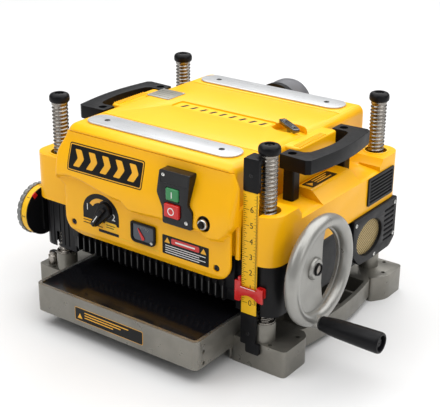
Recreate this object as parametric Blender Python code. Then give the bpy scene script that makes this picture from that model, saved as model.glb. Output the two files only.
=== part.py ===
"""A benchtop thickness planer: a cast base with four threaded posts, and a cutterhead carriage
that climbs them when the handwheel turns.

Lengths are in millimetres in the machine's own frame: X to the operator's right, Y from the infeed
side to the outfeed side, Z up from the bench, with X = Y = 0 midway between the four posts.
The helpers turn them into metres, and one empty shifts the machine so that the world's origin lies
under the middle of its bounding box.
"""
import math

import bmesh
import bpy

MM = 0.001
GAP = 0.3                      # between pieces that touch or lie in each other

# Base and bed
POST_X = 207.5                 # half the distance between posts, left to right
POST_Y = 165.3                 # half the distance between posts, front to back
BED_HALF = 165.5               # half the bed's width
BED_FRONT = -283.5
BED_REAR = 219.0
BED_TOP = 74.0                 # height of the bed's surface over the bench
SKIRT_LOW = 26.0               # the bed's skirt stops above the bench
PAD_TOP = 45.0                 # top of the four corner pads
BOSS_R = 18.0
BOSS_TOP = 77.0
WING_BULGE = 251.5

# Posts
POST_R = 13.75
POST_LOW = 12.0
POST_TOP = 347.0
CAP_R = 16.9
CAP_TOP = 362.5

# Carriage at rest: the cutting circle stands one inch above the bed
OPENING = 25.4
CUT_Z = BED_TOP + OPENING
CUT_R = 27.0                   # radius of the cutting circle
HEAD_Z = CUT_Z + CUT_R
FEED_R = 16.0
FEED_Y = 78.0                  # feed rollers before and behind the cutterhead
FEED_Z = CUT_Z - 0.8 + FEED_R
CAST_HALF = 236.0              # carriage casting
LEFT_MORE = 8.0                # the casting and its cover reach this much further out on the left
CAST_Y = 184.0
CAST_LOW = 92.0
CAST_TOP = 180.0
THROAT_HALF = 166.0
DECK_LOW = 165.0
DECK_TOP = 172.0
BORE_TOP = 120.0               # below this the casting clears the bosses on the pads
WALL = 4.0                     # moulded covers
SIDE_OUT = 240.0               # side covers
SIDE_IN = 168.6
SIDE_FRONT = -195.0
SIDE_REAR = 198.0
SIDE_TOP = 260.0
SHOULDER_Z = 245.0             # low parts of the side covers, where the handles stand
SHOULDER_Y = (59.5, 119.0, 131.0)   # their inner wall, and the slope from them up to each well
SHOULDER_OUT = 205.6           # they are level out to here
SHOULDER_FALL = 5.0            # and fall by this much to the outer face
CROWN_OUT = 217.0              # the high part between them is flat out to here
CAVITY_TOP = 233.0
WELL_R = 20.0                  # hole over each post, wide enough for its cap
TOP_HALF = 168.0               # top cover
TOP_Z = 327.0
TOP_REAR = 200.0
SEAM_Z = 316.0
FRONT_LOW = 140.3              # bottom edge of the front cover
STRIP_Y = 153.0
STRIP_HALF = (148.0, 24.0)
PLATFORM = (192.0, 58.0, 321.0)     # reach to each side, half its length, and height

# Height drive
NUT_LOW = CAST_TOP + GAP
NUT_TOP = 206.0
CHAIN_Z = (187.0, 192.0)
CHAIN_R = 17.3
WHEEL_Y = -124.0
WHEEL_Z = 166.0
WHEEL_R = 88.0
RIM_W = 22.0                   # radial width of the wheel's rim
RIM_X = (264.0, 288.0)
WEB_X = (261.0, 267.0)
GRIP_OFF = (-15.0, -78.0)      # the grip's axis from the wheel's axis, in Y and Z
GRIP_X = (293.5, 394.0)
GRIP_R = 16.5

# Drive
MOTOR_Y = 75.0
MOTOR_Z = 216.0
MOTOR_R = 40.0
PULLEY_X = (-198.0, -184.0)
MOTOR_PULLEY_R = 12.0
HEAD_PULLEY_R = 24.0
BELT_T = 2.6

# Depth turret, dust outlet
TURRET_Y = -172.0
TURRET_Z = 145.5
TURRET_R = 46.0
TURRET_X = (-272.0, -250.5)
CHUTE_X = -20.0
CHUTE_Z = 282.0
CHUTE_R = 46.0
CHUTE_END = 262.0

# The world's origin is under the middle of the bounding box
ORIGIN_X = (TURRET_X[0] + GRIP_X[1]) / 2
ORIGIN_Y = (BED_FRONT + CHUTE_END) / 2

PALETTE = {
    "yellow": ((0.93, 0.62, 0.03), 0.35, 0.0),
    "cast_aluminium": ((0.42, 0.41, 0.38), 0.45, 0.9),
    "bright_aluminium": ((0.86, 0.86, 0.86), 0.3, 1.0),
    "steel": ((0.6, 0.6, 0.6), 0.3, 1.0),
    "black_paint": ((0.02, 0.02, 0.022), 0.4, 0.0),
    "black_plastic": ((0.03, 0.03, 0.033), 0.5, 0.0),
    "rubber": ((0.02, 0.02, 0.02), 0.8, 0.0),
    "bed_plate": ((0.012, 0.012, 0.014), 0.1, 0.3),
    "red": ((0.7, 0.02, 0.02), 0.4, 0.0),
    "green": ((0.05, 0.35, 0.1), 0.4, 0.0),
    "grey_plastic": ((0.25, 0.26, 0.27), 0.4, 0.0),
    "screen": ((0.42, 0.3, 0.12), 0.5, 0.8),
}


def material(name):
    made = bpy.data.materials.get(name)
    if made is None:
        colour, rough, metal = PALETTE[name]
        made = bpy.data.materials.new(name)
        made.use_nodes = True
        shader = made.node_tree.nodes["Principled BSDF"]
        shader.inputs["Base Color"].default_value = (*colour, 1.0)
        shader.inputs["Roughness"].default_value = rough
        shader.inputs["Metallic"].default_value = metal
    return made


def finish_mesh(name, bm, look, origin, smooth=False):
    """Turns a bmesh in machine millimetres into a named object whose origin is the given point."""
    bmesh.ops.recalc_face_normals(bm, faces=bm.faces)
    for vert in bm.verts:
        vert.co = [(c - o) * MM for c, o in zip(vert.co, origin)]
    mesh = bpy.data.meshes.new(name)
    bm.to_mesh(mesh)
    bm.free()
    obj = bpy.data.objects.new(name, mesh)
    bpy.context.scene.collection.objects.link(obj)
    obj.location = [c * MM for c in origin]
    obj.parent = bpy.data.objects["machine"]
    if look is None:
        obj.hide_render = True
        obj.display_type = "WIRE"
    else:
        mesh.materials.append(material(look))
    if smooth:
        mesh.shade_smooth()
        mesh.set_sharp_from_angle(angle=math.radians(35))
    return obj


def along(axis, u, v, w):
    """A point from two coordinates across an axis and one along it."""
    return {"X": (w, u, v), "Y": (u, w, v), "Z": (u, v, w)}[axis]


def add_prism(bm, outline, axis, low, high):
    base = [bm.verts.new(along(axis, u, v, low)) for u, v in outline]
    face = bm.faces.new(base)
    grown = bmesh.ops.extrude_face_region(bm, geom=[face])["geom"]
    for item in grown:
        if isinstance(item, bmesh.types.BMVert):
            item.co = [c + d for c, d in zip(item.co, along(axis, 0, 0, high - low))]


def prism(name, outline, axis, low, high, look=None, origin=(0, 0, 0)):
    """An outline carried along an axis. With no look it is a guide for a Boolean."""
    bm = bmesh.new()
    add_prism(bm, outline, axis, low, high)
    return finish_mesh(name, bm, look, origin)


def box(name, low, high, look=None, origin=(0, 0, 0)):
    outline = [(low[0], low[1]), (high[0], low[1]), (high[0], high[1]), (low[0], high[1])]
    return prism(name, outline, "Z", low[2], high[2], look, origin)


def boxes(name, spans):
    """Several separate boxes in one guide."""
    bm = bmesh.new()
    for low, high in spans:
        outline = [(low[0], low[1]), (high[0], low[1]), (high[0], high[1]), (low[0], high[1])]
        add_prism(bm, outline, "Z", low[2], high[2])
    return finish_mesh(name, bm, None, (0, 0, 0))


def circle(radius, centre=(0, 0), steps=24, start=0.0, turn=math.tau):
    """Points on a circle, or on an arc with both its ends."""
    count = steps if turn == math.tau else steps + 1
    angles = [start + turn * i / steps for i in range(count)]
    return [(centre[0] + radius * math.cos(a), centre[1] + radius * math.sin(a)) for a in angles]


def rods(name, centres, radius, axis, low, high, steps=24):
    """Several separate round rods in one guide."""
    bm = bmesh.new()
    for centre in centres:
        add_prism(bm, circle(radius, centre, steps), axis, low, high)
    return finish_mesh(name, bm, None, (0, 0, 0))


def turned(name, profile, axis, centre, look=None, steps=24):
    """A closed profile of (radius, place along the axis), turned round an axis through centre."""
    bm = bmesh.new()
    rings = []
    for radius, place in profile:
        if radius == 0:
            rings.append([bm.verts.new(along(axis, centre[0], centre[1], place))])
        else:
            points = circle(radius, centre, steps)
            rings.append([bm.verts.new(along(axis, u, v, place)) for u, v in points])
    closed = profile[0][0] != 0
    pairs = list(zip(rings, rings[1:]))
    if closed:
        pairs.append((rings[-1], rings[0]))
    for one, two in pairs:
        for i in range(steps):
            j = (i + 1) % steps
            corners = [one[i % len(one)], one[j % len(one)], two[j % len(two)], two[i % len(two)]]
            unique = list(dict.fromkeys(corners))
            if len(unique) > 2:
                bm.faces.new(unique)
    origin = along(axis, centre[0], centre[1], (profile[0][1] + profile[-1][1]) / 2)
    return finish_mesh(name, bm, look, origin, smooth=True)


def rounded(x0, y0, x1, y1, radii, steps=4):
    """A rectangle with a radius at each corner, from the low corner round anticlockwise."""
    if not isinstance(radii, (list, tuple)):
        radii = [radii] * 4
    corners = [(x0, y0, 1, 1), (x1, y0, -1, 1), (x1, y1, -1, -1), (x0, y1, 1, -1)]
    points = []
    for (x, y, sx, sy), radius, start in zip(corners, radii, (math.pi, 1.5 * math.pi, 0, math.pi / 2)):
        if radius == 0:
            points.append((x, y))
        else:
            centre = (x + sx * radius, y + sy * radius)
            points += circle(radius, centre, steps, start, math.pi / 2)
    return points


def mirrored(points):
    return [(-x, y) for x, y in reversed(points)]


def combine(obj, tool, operation):
    step = obj.modifiers.new(tool.name, "BOOLEAN")
    step.operation = operation
    step.object = tool
    step.solver = "EXACT"
    return obj


def cut(obj, tool):
    return combine(obj, tool, "DIFFERENCE")


def weld(obj, tool):
    return combine(obj, tool, "UNION")


def bevelled(obj, width, segments=2, angle=40):
    step = obj.modifiers.new("edges", "BEVEL")
    step.width = width * MM
    step.segments = segments
    step.limit_method = "ANGLE"
    step.angle_limit = math.radians(angle)
    return obj


def corners():
    """Each post's name and the signs of its X and Y."""
    for depth, sy in (("front", -1), ("rear", 1)):
        for side, sx in (("left", -1), ("right", 1)):
            yield f"{depth}_{side}", sx, sy


# ---------------------------------------------------------------- base

def flank_outline():
    """One flank in plan on the right-hand side: the front pad, the bowed wall and the rear pad."""
    points = [(157, -185.5), (249, -185.5), (256, -182.5), (259, -175.5), (259, -123)]
    points += [(wall_x(y), y) for y in WALL_YS]
    points += [(259, 144), (259, 190), (256.5, 196), (250, 198.5), (157, 198.5)]
    return points


WALL_YS = (-104, -80, -52, -24, 4, 32, 60, 88, 112)


def wall_x(y):
    """The bowed wall between the pads."""
    return WING_BULGE - 12.5 * (y / 118.0) ** 2


def cell_outline(y0, y1):
    wall = 7.0
    ys = [y0 + (y1 - y0) * i / 3 for i in range(4)]
    return [(BED_HALF + 7, y0)] + [(wall_x(y) - wall, y) for y in ys] + [(BED_HALF + 7, y1)]


def build_base():
    outline = rounded(-BED_HALF, BED_FRONT, BED_HALF, BED_REAR, 10, 3)
    base = prism("base_casting", outline, "Z", SKIRT_LOW, BED_TOP, "cast_aluminium")
    for side, sx in (("left", -1), ("right", 1)):
        flank = flank_outline()
        weld(base, prism(f"flank_{side}", flank if sx > 0 else mirrored(flank), "Z", 0, PAD_TOP))
        bm = bmesh.new()
        for i in range(4):
            y0 = -101.0 + 52.0 * i
            cell = cell_outline(y0, y0 + 47.0)
            add_prism(bm, cell if sx > 0 else mirrored(cell), "Z", 18, PAD_TOP + 1)
        cut(base, finish_mesh(f"flank_cells_{side}", bm, None, (0, 0, 0)))
        low, high = sorted((sx * 150, sx * 265))
        cut(base, box(f"flank_gap_{side}", (low, -112, -1), (high, 118, 12)))
    posts = [(sx * POST_X, sy * POST_Y) for _, sx, sy in corners()]
    weld(base, rods("bosses", posts, BOSS_R, "Z", PAD_TOP - 5, BOSS_TOP, 22))
    cut(base, rods("post_sockets", posts, POST_R + GAP, "Z", POST_LOW - GAP, BOSS_TOP + 1))
    cut(base, rods("stop_socket", [(-238, -168)], 6 + GAP, "Z", PAD_TOP - 8, PAD_TOP + 1, 16))
    places = ((227, -178), (247, -131), (227, 190), (245, 152))
    bolts = [(sx * x, y) for x, y in places for sx in (-1, 1)]
    cut(base, rods("bolt_holes", bolts, 3.5, "Z", -1, PAD_TOP + 1, 10))
    half = BED_HALF - 6
    recess = rounded(-half, BED_FRONT + 6, half, BED_REAR - 6, 5, 2)
    cut(base, prism("plate_recess", recess, "Z", BED_TOP - 4, BED_TOP + 1))
    x = BED_HALF - 11
    rows = ((BED_FRONT + 8, -104), (-97, 97), (104, BED_REAR - 8))
    cut(base, boxes("bed_cells", [((-x, y0, -1), (x, y1, BED_TOP - 13)) for y0, y1 in rows]))
    bevelled(base, 1.5, 1, 50)


def build_bed_plate():
    half = BED_HALF - 6 - GAP
    outline = rounded(-half, BED_FRONT + 6 + GAP, half, BED_REAR - 6 - GAP, 5 - GAP, 2)
    prism("bed_plate", outline, "Z", BED_TOP - 4 + GAP, BED_TOP, "bed_plate")


def build_posts():
    for name, sx, sy in corners():
        place = (sx * POST_X, sy * POST_Y)
        chamfer = 1.5
        profile = [(0, POST_LOW), (POST_R, POST_LOW), (POST_R, POST_TOP - chamfer),
                   (POST_R - chamfer, POST_TOP), (0, POST_TOP)]
        turned(f"post_{name}", profile, "Z", place, "steel")
        low = POST_TOP + GAP
        profile = [(0, low), (CAP_R - 2, low), (CAP_R, low + 2.5), (CAP_R, CAP_TOP - 6.5),
                   (CAP_R - 1.7, CAP_TOP - 2.5), (11, CAP_TOP), (6.5, CAP_TOP), (6.5, CAP_TOP - 4),
                   (0, CAP_TOP - 4)]
        turned(f"post_cap_{name}", profile, "Z", place, "black_plastic")


RULE_X = (180.5, 207.5)
RULE_Y = (-190.5, -188.5)
RULE_Z = (93.0, 292.0)


def build_depth_stop():
    place = (-238, -168)
    profile = [(0, PAD_TOP - 8 + GAP), (6, PAD_TOP - 8 + GAP), (6, PAD_TOP + GAP), (9.5, PAD_TOP + GAP),
               (9.5, 62), (8, 64), (8, 68.5), (0, 68.5)]
    turned("depth_stop_post", profile, "Z", place, "steel")


def build_scale():
    box("scale_rule", (RULE_X[0], RULE_Y[0], RULE_Z[0]), (RULE_X[1], RULE_Y[1], RULE_Z[1]), "yellow")
    foot_y = -185.5 - GAP
    foot = box("scale_foot", (RULE_X[0], RULE_Y[0] - 0.5, 41), (RULE_X[1], foot_y, RULE_Z[0] - GAP),
               "black_plastic")
    weld(foot, box("scale_tongue", (RULE_X[0] + 3, RULE_Y[1] + GAP, 80), (RULE_X[1] - 3, foot_y, 104)))
    weld(foot, box("scale_hook", (190, RULE_Y[0] - 0.5, 27), (215, foot_y, 46)))
    top = RULE_Z[1] + GAP
    high = 343.4
    bracket = box("scale_bracket", (RULE_X[0], RULE_Y[0] - 0.5, top), (RULE_X[1], -184.6, high),
                  "black_plastic")
    weld(bracket, box("scale_arm", (RULE_X[0] + 1, -186, 336), (RULE_X[1] - 1, -166, high)))
    cut(bracket, rods("post_clip", [(POST_X, -POST_Y)], POST_R + GAP, "Z", 330, 350))


# ---------------------------------------------------------------- carriage structure

def build_casting():
    half, y = CAST_HALF, CAST_Y
    left = half + LEFT_MORE
    casting = prism("carriage_casting", rounded(-left, -y, half, y, 24, 4), "Z", CAST_LOW, CAST_TOP,
                    "black_paint")
    cut(casting, boxes("throat", [((-THROAT_HALF, -200, 80), (THROAT_HALF, 200, DECK_LOW))]))
    wall = 8.0
    inner = THROAT_HALF + wall
    shell = 6.0
    cells = [((inner, -138, 97), (half - shell, 138, 190)), ((shell - left, -138, 97), (-inner, 138, 190)),
             ((-THROAT_HALF, -178, DECK_TOP), (THROAT_HALF, 178, 190))]
    cut(casting, boxes("casting_cells", cells))
    cut(casting, boxes("chip_slot", [((-150, 20, 160), (150, 60, 176))]))
    posts = [(sx * POST_X, sy * POST_Y) for _, sx, sy in corners()]
    cut(casting, rods("guide_bores", posts, POST_R + 0.55, "Z", 80, 190))
    cut(casting, rods("boss_bores", posts, BOSS_R + 1, "Z", 80, BORE_TOP))
    shafts = [(0, HEAD_Z), (-FEED_Y, FEED_Z), (FEED_Y, FEED_Z)]
    cut(casting, rods("journal_bores", shafts, 9.0, "X", -inner - 1, inner + 1))
    cut(casting, rods("crank_notch", [(WHEEL_Y, WHEEL_Z)], 10.0, "X", 180, 250))


def build_front_guard():
    """The black plate over the infeed opening, with a row of fins below it."""
    half = THROAT_HALF + 1
    back = -CAST_Y - GAP
    face = back - 6
    plate = prism("front_guard", [(-half, 124), (half, 124), (half, CAST_TOP), (-half, CAST_TOP)], "Y",
                  face, back, "black_plastic")
    fins = 24
    pitch = 13.0
    fin_half = 1.2
    comb = [(-half, back), (-half, face)]
    for i in range(fins):
        x = pitch * (i - (fins - 1) / 2)
        comb += [(x - fin_half, face), (x - fin_half, face - 6)]
        comb += [(x + fin_half, face - 6), (x + fin_half, face)]
    comb += [(half, face), (half, back)]
    weld(plate, prism("fins", comb, "Z", 104, 126))


def build_rear_guard():
    half = THROAT_HALF + 1
    near = CAST_Y + GAP
    guard = box("rear_guard", (-half, near, 108), (half, near + 5, CAST_TOP), "black_plastic")
    ribs = [((x - 2, near + 4, 112), (x + 2, near + 9, 176)) for x in range(-150, 151, 60)]
    weld(guard, boxes("rear_ribs", ribs))


SWITCH = [(50, 216), (107, 216), (107, 245), (98, 254), (103, 303), (45, 303), (39, 264), (50, 240)]


def grown(points, amount):
    """The outline, anticlockwise, with every side moved outward by the amount."""
    moved = []
    count = len(points)
    for i in range(count):
        (x0, y0), (x1, y1), (x2, y2) = points[i - 1], points[i], points[(i + 1) % count]
        a = math.atan2(y1 - y0, x1 - x0) - math.pi / 2
        b = math.atan2(y2 - y1, x2 - x1) - math.pi / 2
        reach = amount / math.cos((b - a) / 2)
        middle = (a + b) / 2
        moved.append((x1 + reach * math.cos(middle), y1 + reach * math.sin(middle)))
    return moved


def front_profile():
    """Outer then inner side of the front cover's wall, in Y and Z."""
    outer = [(-197, FRONT_LOW), (-202, 142), (-205, 147), (-205.5, 214), (-213, 231), (-213.5, 238),
             (-207.5, 290), (-198.5, SEAM_Z - GAP)]
    inner = [(-196.2, SEAM_Z - GAP), (-203.8, 288), (-209.3, 238), (-208.9, 233), (-201.4, 216), (-201, 149),
             (-197, 144.5)]
    return outer + inner


def front_mask_outline():
    """The front cover from the front: a lower panel with round corners and a wider brow above it."""
    half, brow_left, brow_right = TOP_HALF, -183.0, 178.0
    lower = rounded(-half, FRONT_LOW - 0.5, half, 222, (30, 30, 0, 0), 5)
    right = [(174, 225), (brow_right, 236), (brow_right, 298), (half + 3, 318), (half + 3, 340)]
    left = [(2 - half, 340), (2 - half, 318), (brow_left, 280), (brow_left, 231), (-177, 223)]
    return lower[:-1] + right + left + lower[-1:]


def build_front_cover():
    cover = prism("front_cover", front_profile(), "X", -200, 200, "yellow")
    combine(cover, prism("front_mask", front_mask_outline(), "Y", -230, -180), "INTERSECT")
    back = SIDE_FRONT - GAP
    returns = [((-183, -208, 240), (-179, back, 278)), ((174, -208, 244), (178, back, 292))]
    weld(cover, boxes("front_returns", returns))
    cut(cover, prism("switch_opening", grown(SWITCH, GAP), "Y", -240, -190))
    screws = [(-148, 161), (144, 161)]
    cut(cover, rods("front_screw_holes", screws, 4.0, "Y", -220, -190, 12))


def build_top_cover():
    outer = [(-192, CAST_TOP + 1), (-192, SEAM_Z), (-197.5, SEAM_Z), (-195.5, 321), (-187, 326),
             (-180, TOP_Z), (187, TOP_Z), (195, 323), (TOP_REAR, 315), (TOP_REAR, CAST_TOP + 1)]
    cover = prism("top_cover", outer, "X", -TOP_HALF, TOP_HALF, "yellow")
    bevelled(cover, 3.0, 2, 60)
    reach, run, high = PLATFORM
    inner = TOP_HALF - WALL
    low = SIDE_TOP + GAP
    left = ((-reach, -run, low), (-inner, run, high))
    right = ((inner, -run, low), (reach, run, high))
    weld(cover, boxes("platforms", [left, right]))
    cut(cover, box("top_cavity", (-inner, -192 + WALL, 170), (inner, TOP_REAR - WALL, TOP_Z - WALL)))
    cut(cover, boxes("top_side_gaps", [((-180, -188, 170), (180, 196, 200))]))
    bowl = [(WRENCH_X + 30 * math.cos(a), WRENCH_Y + 22 * math.sin(a))
            for a in [math.tau * i / 24 for i in range(24)]]
    weld(cover, prism("bowl_body", [(WRENCH_X + (x - WRENCH_X) * 1.12, WRENCH_Y + (y - WRENCH_Y) * 1.15)
                                    for x, y in bowl], "Z", TOP_Z - 13, TOP_Z - 2))
    cut(cover, prism("bowl", bowl, "Z", TOP_Z - 9, TOP_Z + 5))
    cut(cover, rods("wrench_hole", [(WRENCH_X, WRENCH_Y)], 4.6, "Z", TOP_Z - 20, TOP_Z, 12))
    cut(cover, prism("panel_recess", rounded(-88, -16, 92, 14, 3, 2), "Z", TOP_Z - 2, TOP_Z + 5))
    cut(cover, rods("shaft_hole", [(MOTOR_Y, MOTOR_Z)], 9.0, "X", -175, -160, 16))


def side_shell(side, sx):
    """A moulded cover over one side of the casting, with a well over each of its two posts."""
    out = SIDE_OUT if sx > 0 else SIDE_OUT + LEFT_MORE
    outline = rounded(SIDE_IN, SIDE_FRONT, out, SIDE_REAR, (3, 26, 26, 3), 4)
    hollow = rounded(SIDE_IN + WALL, SIDE_FRONT + WALL, out - WALL, SIDE_REAR - WALL, (1, 22, 22, 1), 4)
    if sx < 0:
        outline, hollow = mirrored(outline), mirrored(hollow)
    cover = prism(f"side_cover_{side}", outline, "Z", CAST_TOP + GAP, SIDE_TOP, "yellow")
    bevelled(cover, 2.5, 2, 60)
    cut(cover, prism(f"side_cavity_{side}", hollow, "Z", 170, CAVITY_TOP))
    wells = [(sx * POST_X, -POST_Y), (sx * POST_X, POST_Y)]
    cut(cover, rods(f"wells_{side}", wells, WELL_R, "Z", CAVITY_TOP - 1, 270))
    low, high = sorted((sx * (SIDE_IN - 1), sx * (SIDE_IN + WALL + 1)))
    inner, near, far = SHOULDER_Y
    top = SIDE_TOP + 2
    dip = [(inner, top), (inner, SHOULDER_Z), (near, SHOULDER_Z), (far, top)]
    rim = (out + 1, SHOULDER_Z - SHOULDER_FALL)
    slope = [(SHOULDER_OUT, top), (SHOULDER_OUT, SHOULDER_Z), rim, (out + 1, top)]
    crown = [(CROWN_OUT, top), (CROWN_OUT, SIDE_TOP), rim, (out + 1, top)]
    if sx < 0:
        slope, crown = mirrored(slope), mirrored(crown)
    span = sorted((sx * (SIDE_IN - 3), sx * (out + 3)))
    for sy in (-1, 1):
        notch = dip if sy > 0 else mirrored(dip)
        cut(cover, prism(f"dip_{side}_{sy}", notch, "X", *span))
        cut(cover, prism(f"shoulder_{side}_{sy}", slope, "Y", *sorted((sy * inner, sy * near))))
    cut(cover, prism(f"crown_{side}", crown, "Y", -inner - 0.5, inner + 0.5))
    cut(cover, boxes(f"inner_gap_{side}", [((low, -188.5, 170), (high, 192, 201))]))
    return cover


def build_side_covers():
    right = side_shell("right", 1)
    cut(right, boxes("rule_slot", [((178, -200, 170), (211, -166, 270))]))
    cut(right, rods("crank_hole", [(WHEEL_Y, WHEEL_Z)], 10.0, "X", 230, 250))
    left = side_shell("left", -1)
    cut(left, rods("belt_shaft_hole", [(MOTOR_Y, MOTOR_Z)], 9.0, "X", -175, -160, 16))


def build_strips():
    for name, sy in (("front", -1), ("rear", 1)):
        x, y = STRIP_HALF
        outline = rounded(-x, sy * STRIP_Y - y, x, sy * STRIP_Y + y, 22, 6)
        strip = prism(f"top_strip_{name}", outline, "Z", TOP_Z + GAP, TOP_Z + 3.3, "bright_aluminium")
        cut(strip, rods(f"strip_holes_{name}", [(-120, sy * STRIP_Y), (120, sy * STRIP_Y)], 3.2, "Z",
                        TOP_Z, TOP_Z + 8, 12))


HANDLE_TOP = 320.0
HANDLE_LEG = (192.0, 78.0)


def handle_outline():
    """The bowed bar in plan, on the right-hand side, with an arm back to each leg."""
    steps = 8
    outer = [(178, -92), (226, -95)]
    outer += [(233 + 9 * math.cos(math.pi * (i / steps - 0.5)), -90 + 180 * i / steps)
              for i in range(steps + 1)]
    outer += [(226, 95), (178, 92)]
    inner = [(178, 64), (204, 64)]
    inner += [(211 + 8 * math.cos(math.pi * (i / steps - 0.5)), 58 - 116 * i / steps)
              for i in range(steps + 1)]
    inner += [(204, -64), (178, -64)]
    return outer + inner


def build_nameplate():
    outline = rounded(-164, 2, -112, 52, 2, 2)
    prism("nameplate", outline, "Z", TOP_Z + GAP, TOP_Z + 1.1, "bright_aluminium")


def build_handles():
    for side, sx in (("left", -1), ("right", 1)):
        outline = handle_outline()
        bar = prism(f"carry_handle_{side}", outline if sx > 0 else mirrored(outline), "Z", 296, HANDLE_TOP,
                    "black_plastic")
        bevelled(bar, 2.5, 2, 50)
        x, y = HANDLE_LEG
        spans = []
        for sy in (-1, 1):
            x0, x1 = sorted((sx * (x - 10), sx * (x + 10)))
            spans.append(((x0, sy * y - 11, SHOULDER_Z + GAP), (x1, sy * y + 11, 300)))
        weld(bar, boxes(f"handle_legs_{side}", spans))
        cut(bar, rods(f"handle_bores_{side}", [(sx * x, -y), (sx * x, y)], 5.5, "Z", 290, 330, 12))


def build_chute():
    """The chip outlet: a collar on the rear wall and a round drum, open to the rear."""
    near = TOP_REAR + GAP
    bore = CHUTE_R - 11
    profile = [(0, near), (CHUTE_R, near), (CHUTE_R, 211), (CHUTE_R - 4.5, 212), (CHUTE_R - 4.5, 219),
               (CHUTE_R, 232), (CHUTE_R, 246), (CHUTE_R - 4, 256), (CHUTE_R - 9, CHUTE_END),
               (bore, CHUTE_END), (bore, near + 6), (0, near + 6)]
    turned("dust_chute", profile, "Y", (CHUTE_X, CHUTE_Z), "grey_plastic", 36)


# ---------------------------------------------------------------- controls

BUTTON_Y = -217.0
START = ((58, 256), (82, 276))
STOP = ((56, 229), (84, 251))


def build_switch():
    plate = prism("switch_plate", SWITCH, "Y", BUTTON_Y, -198, "black_plastic")
    for name, look, (low, high) in (("start_button", "green", START), ("stop_button", "red", STOP)):
        pocket = box(f"{name}_pocket", (low[0] - GAP, BUTTON_Y - 5, low[1] - GAP),
                     (high[0] + GAP, -205, high[1] + GAP))
        cut(plate, pocket)
        front = BUTTON_Y - (3 if name == "start_button" else 5)
        centre = ((low[0] + high[0]) / 2, BUTTON_Y, (low[1] + high[1]) / 2)
        button = box(name, (low[0], front, low[1]), (high[0], -209.5, high[1]), look, centre)
        bevelled(button, 1.5, 2)


BREAKER = (126.0, 232.0)


def build_breaker():
    ring = turned("breaker_bezel", [(5.3, -220), (8.5, -220), (9.5, -217.5), (9.5, -214.0), (5.3, -214.0)],
                  "Y", BREAKER, "bright_aluminium", 16)
    turned("breaker_button", [(0, -223), (4, -223), (5, -222), (5, -216.5), (0, -216.5)], "Y", BREAKER,
           "black_plastic", 16)
    return ring


KNOB = (-76.0, 200.0)


def build_speed_knob():
    """A selector whose lever points down and to the left."""
    centre = (KNOB[0], -205.5, KNOB[1])
    tip = math.radians(-127)
    hub_r = 14.0
    reach = 32.0
    spread = math.radians(105)
    points = circle(hub_r, KNOB, 12, tip + spread, math.tau - 2 * spread)
    tip_at = (KNOB[0] + reach * math.cos(tip), KNOB[1] + reach * math.sin(tip))
    points += circle(6.5, tip_at, 6, tip - math.pi / 2, math.pi)
    knob = prism("speed_knob", points, "Y", -222, -205.5 - GAP, "black_plastic", centre)
    bevelled(knob, 1.5, 2)


GAUGE = ((-22, 163), (28, 198))
NEEDLE = (3.0, 172.0)


def build_gauge():
    (x0, z0), (x1, z1) = GAUGE
    frame = prism("gauge_housing", rounded(x0, z0, x1, z1, (8, 8, 5, 5), 3), "Y", -209.5, -205.5 - GAP,
                  "grey_plastic")
    cut(frame, prism("gauge_pocket", rounded(x0 + 4, z0 + 4, x1 - 4, z1 - 4, 4, 3), "Y", -212, -207.2))
    swing = math.radians(122)
    length = 19.0
    width = 1.3
    end = (NEEDLE[0] + length * math.cos(swing), NEEDLE[1] + length * math.sin(swing))
    points = circle(3.0, NEEDLE, 8, swing + math.pi / 2, math.pi)
    points += [(end[0] + width * math.sin(swing), end[1] - width * math.cos(swing)),
               (end[0] - width * math.sin(swing), end[1] + width * math.cos(swing))]
    prism("gauge_needle", points, "Y", -208.9, -207.6, "red", (NEEDLE[0], -208, NEEDLE[1]))


def build_turret():
    centre = (TURRET_Y, TURRET_Z)
    near = -SIDE_OUT - LEFT_MORE - GAP
    body = [(0, TURRET_X[1] + GAP), (TURRET_R - 2, TURRET_X[1] + GAP), (TURRET_R - 2, near), (0, near)]
    holder = turned("turret_housing", body, "X", centre, "black_plastic", 28)
    weld(holder, box("turret_arm", (near - 1, -180, 112), (-CAST_HALF - LEFT_MORE - GAP, -140, 178)))
    out, seam = TURRET_X
    dial = [(0, out), (TURRET_R - 4, out), (TURRET_R, out + 3), (TURRET_R, out + 8),
            (TURRET_R - 2, out + 9), (TURRET_R - 2, seam), (0, seam)]
    turned("turret_dial", dial, "X", centre, "yellow", 32)


def build_pointer():
    """The red height pointer reaches round the rule without touching it."""
    front = (RULE_Y[0] - 3.5, RULE_Y[0] - 0.8)
    back = -CAST_Y - GAP
    pointer = box("height_pointer", (175, front[0], 126), (226, front[1], 147), "red")
    legs = [((RULE_X[1] + 1.5, front[1] - 1, 126), (214, back, 150)),
            ((RULE_X[0] - 5.5, front[1] - 1, 118), (RULE_X[0] - 1.5, back, 152))]
    weld(pointer, boxes("pointer_legs", legs))
    weld(pointer, box("pointer_tab", (213, back - 3, 126), (227, back, 155)))


def build_vents():
    grille = box("vent_grille", (SIDE_OUT + GAP, 84, 192), (SIDE_OUT + 2.6, 168, 238), "black_plastic")
    slots = [((SIDE_OUT - 1, 92 + 7 * i, 197), (SIDE_OUT + 5, 95.5 + 7 * i, 233)) for i in range(10)]
    cut(grille, boxes("vent_slots", slots))
    outline = [(38, 108), (60, 93), (122, 90), (160, 90), (183, 98), (183, 178), (60, 178), (38, 160)]
    cover = prism("gear_cover", outline, "X", CAST_HALF + GAP, CAST_HALF + 9, "black_plastic")
    bevelled(cover, 2.0, 2)
    cut(cover, prism("screen_window", ellipse(SCREEN, 0), "X", CAST_HALF - 5, CAST_HALF + 20))
    prism("filter_screen", ellipse(SCREEN, GAP), "X", CAST_HALF + 3, CAST_HALF + 5.5, "screen")


SCREEN = ((92.0, 134.0), (42.0, 31.0))     # centre and half widths of the filter screen


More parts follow.
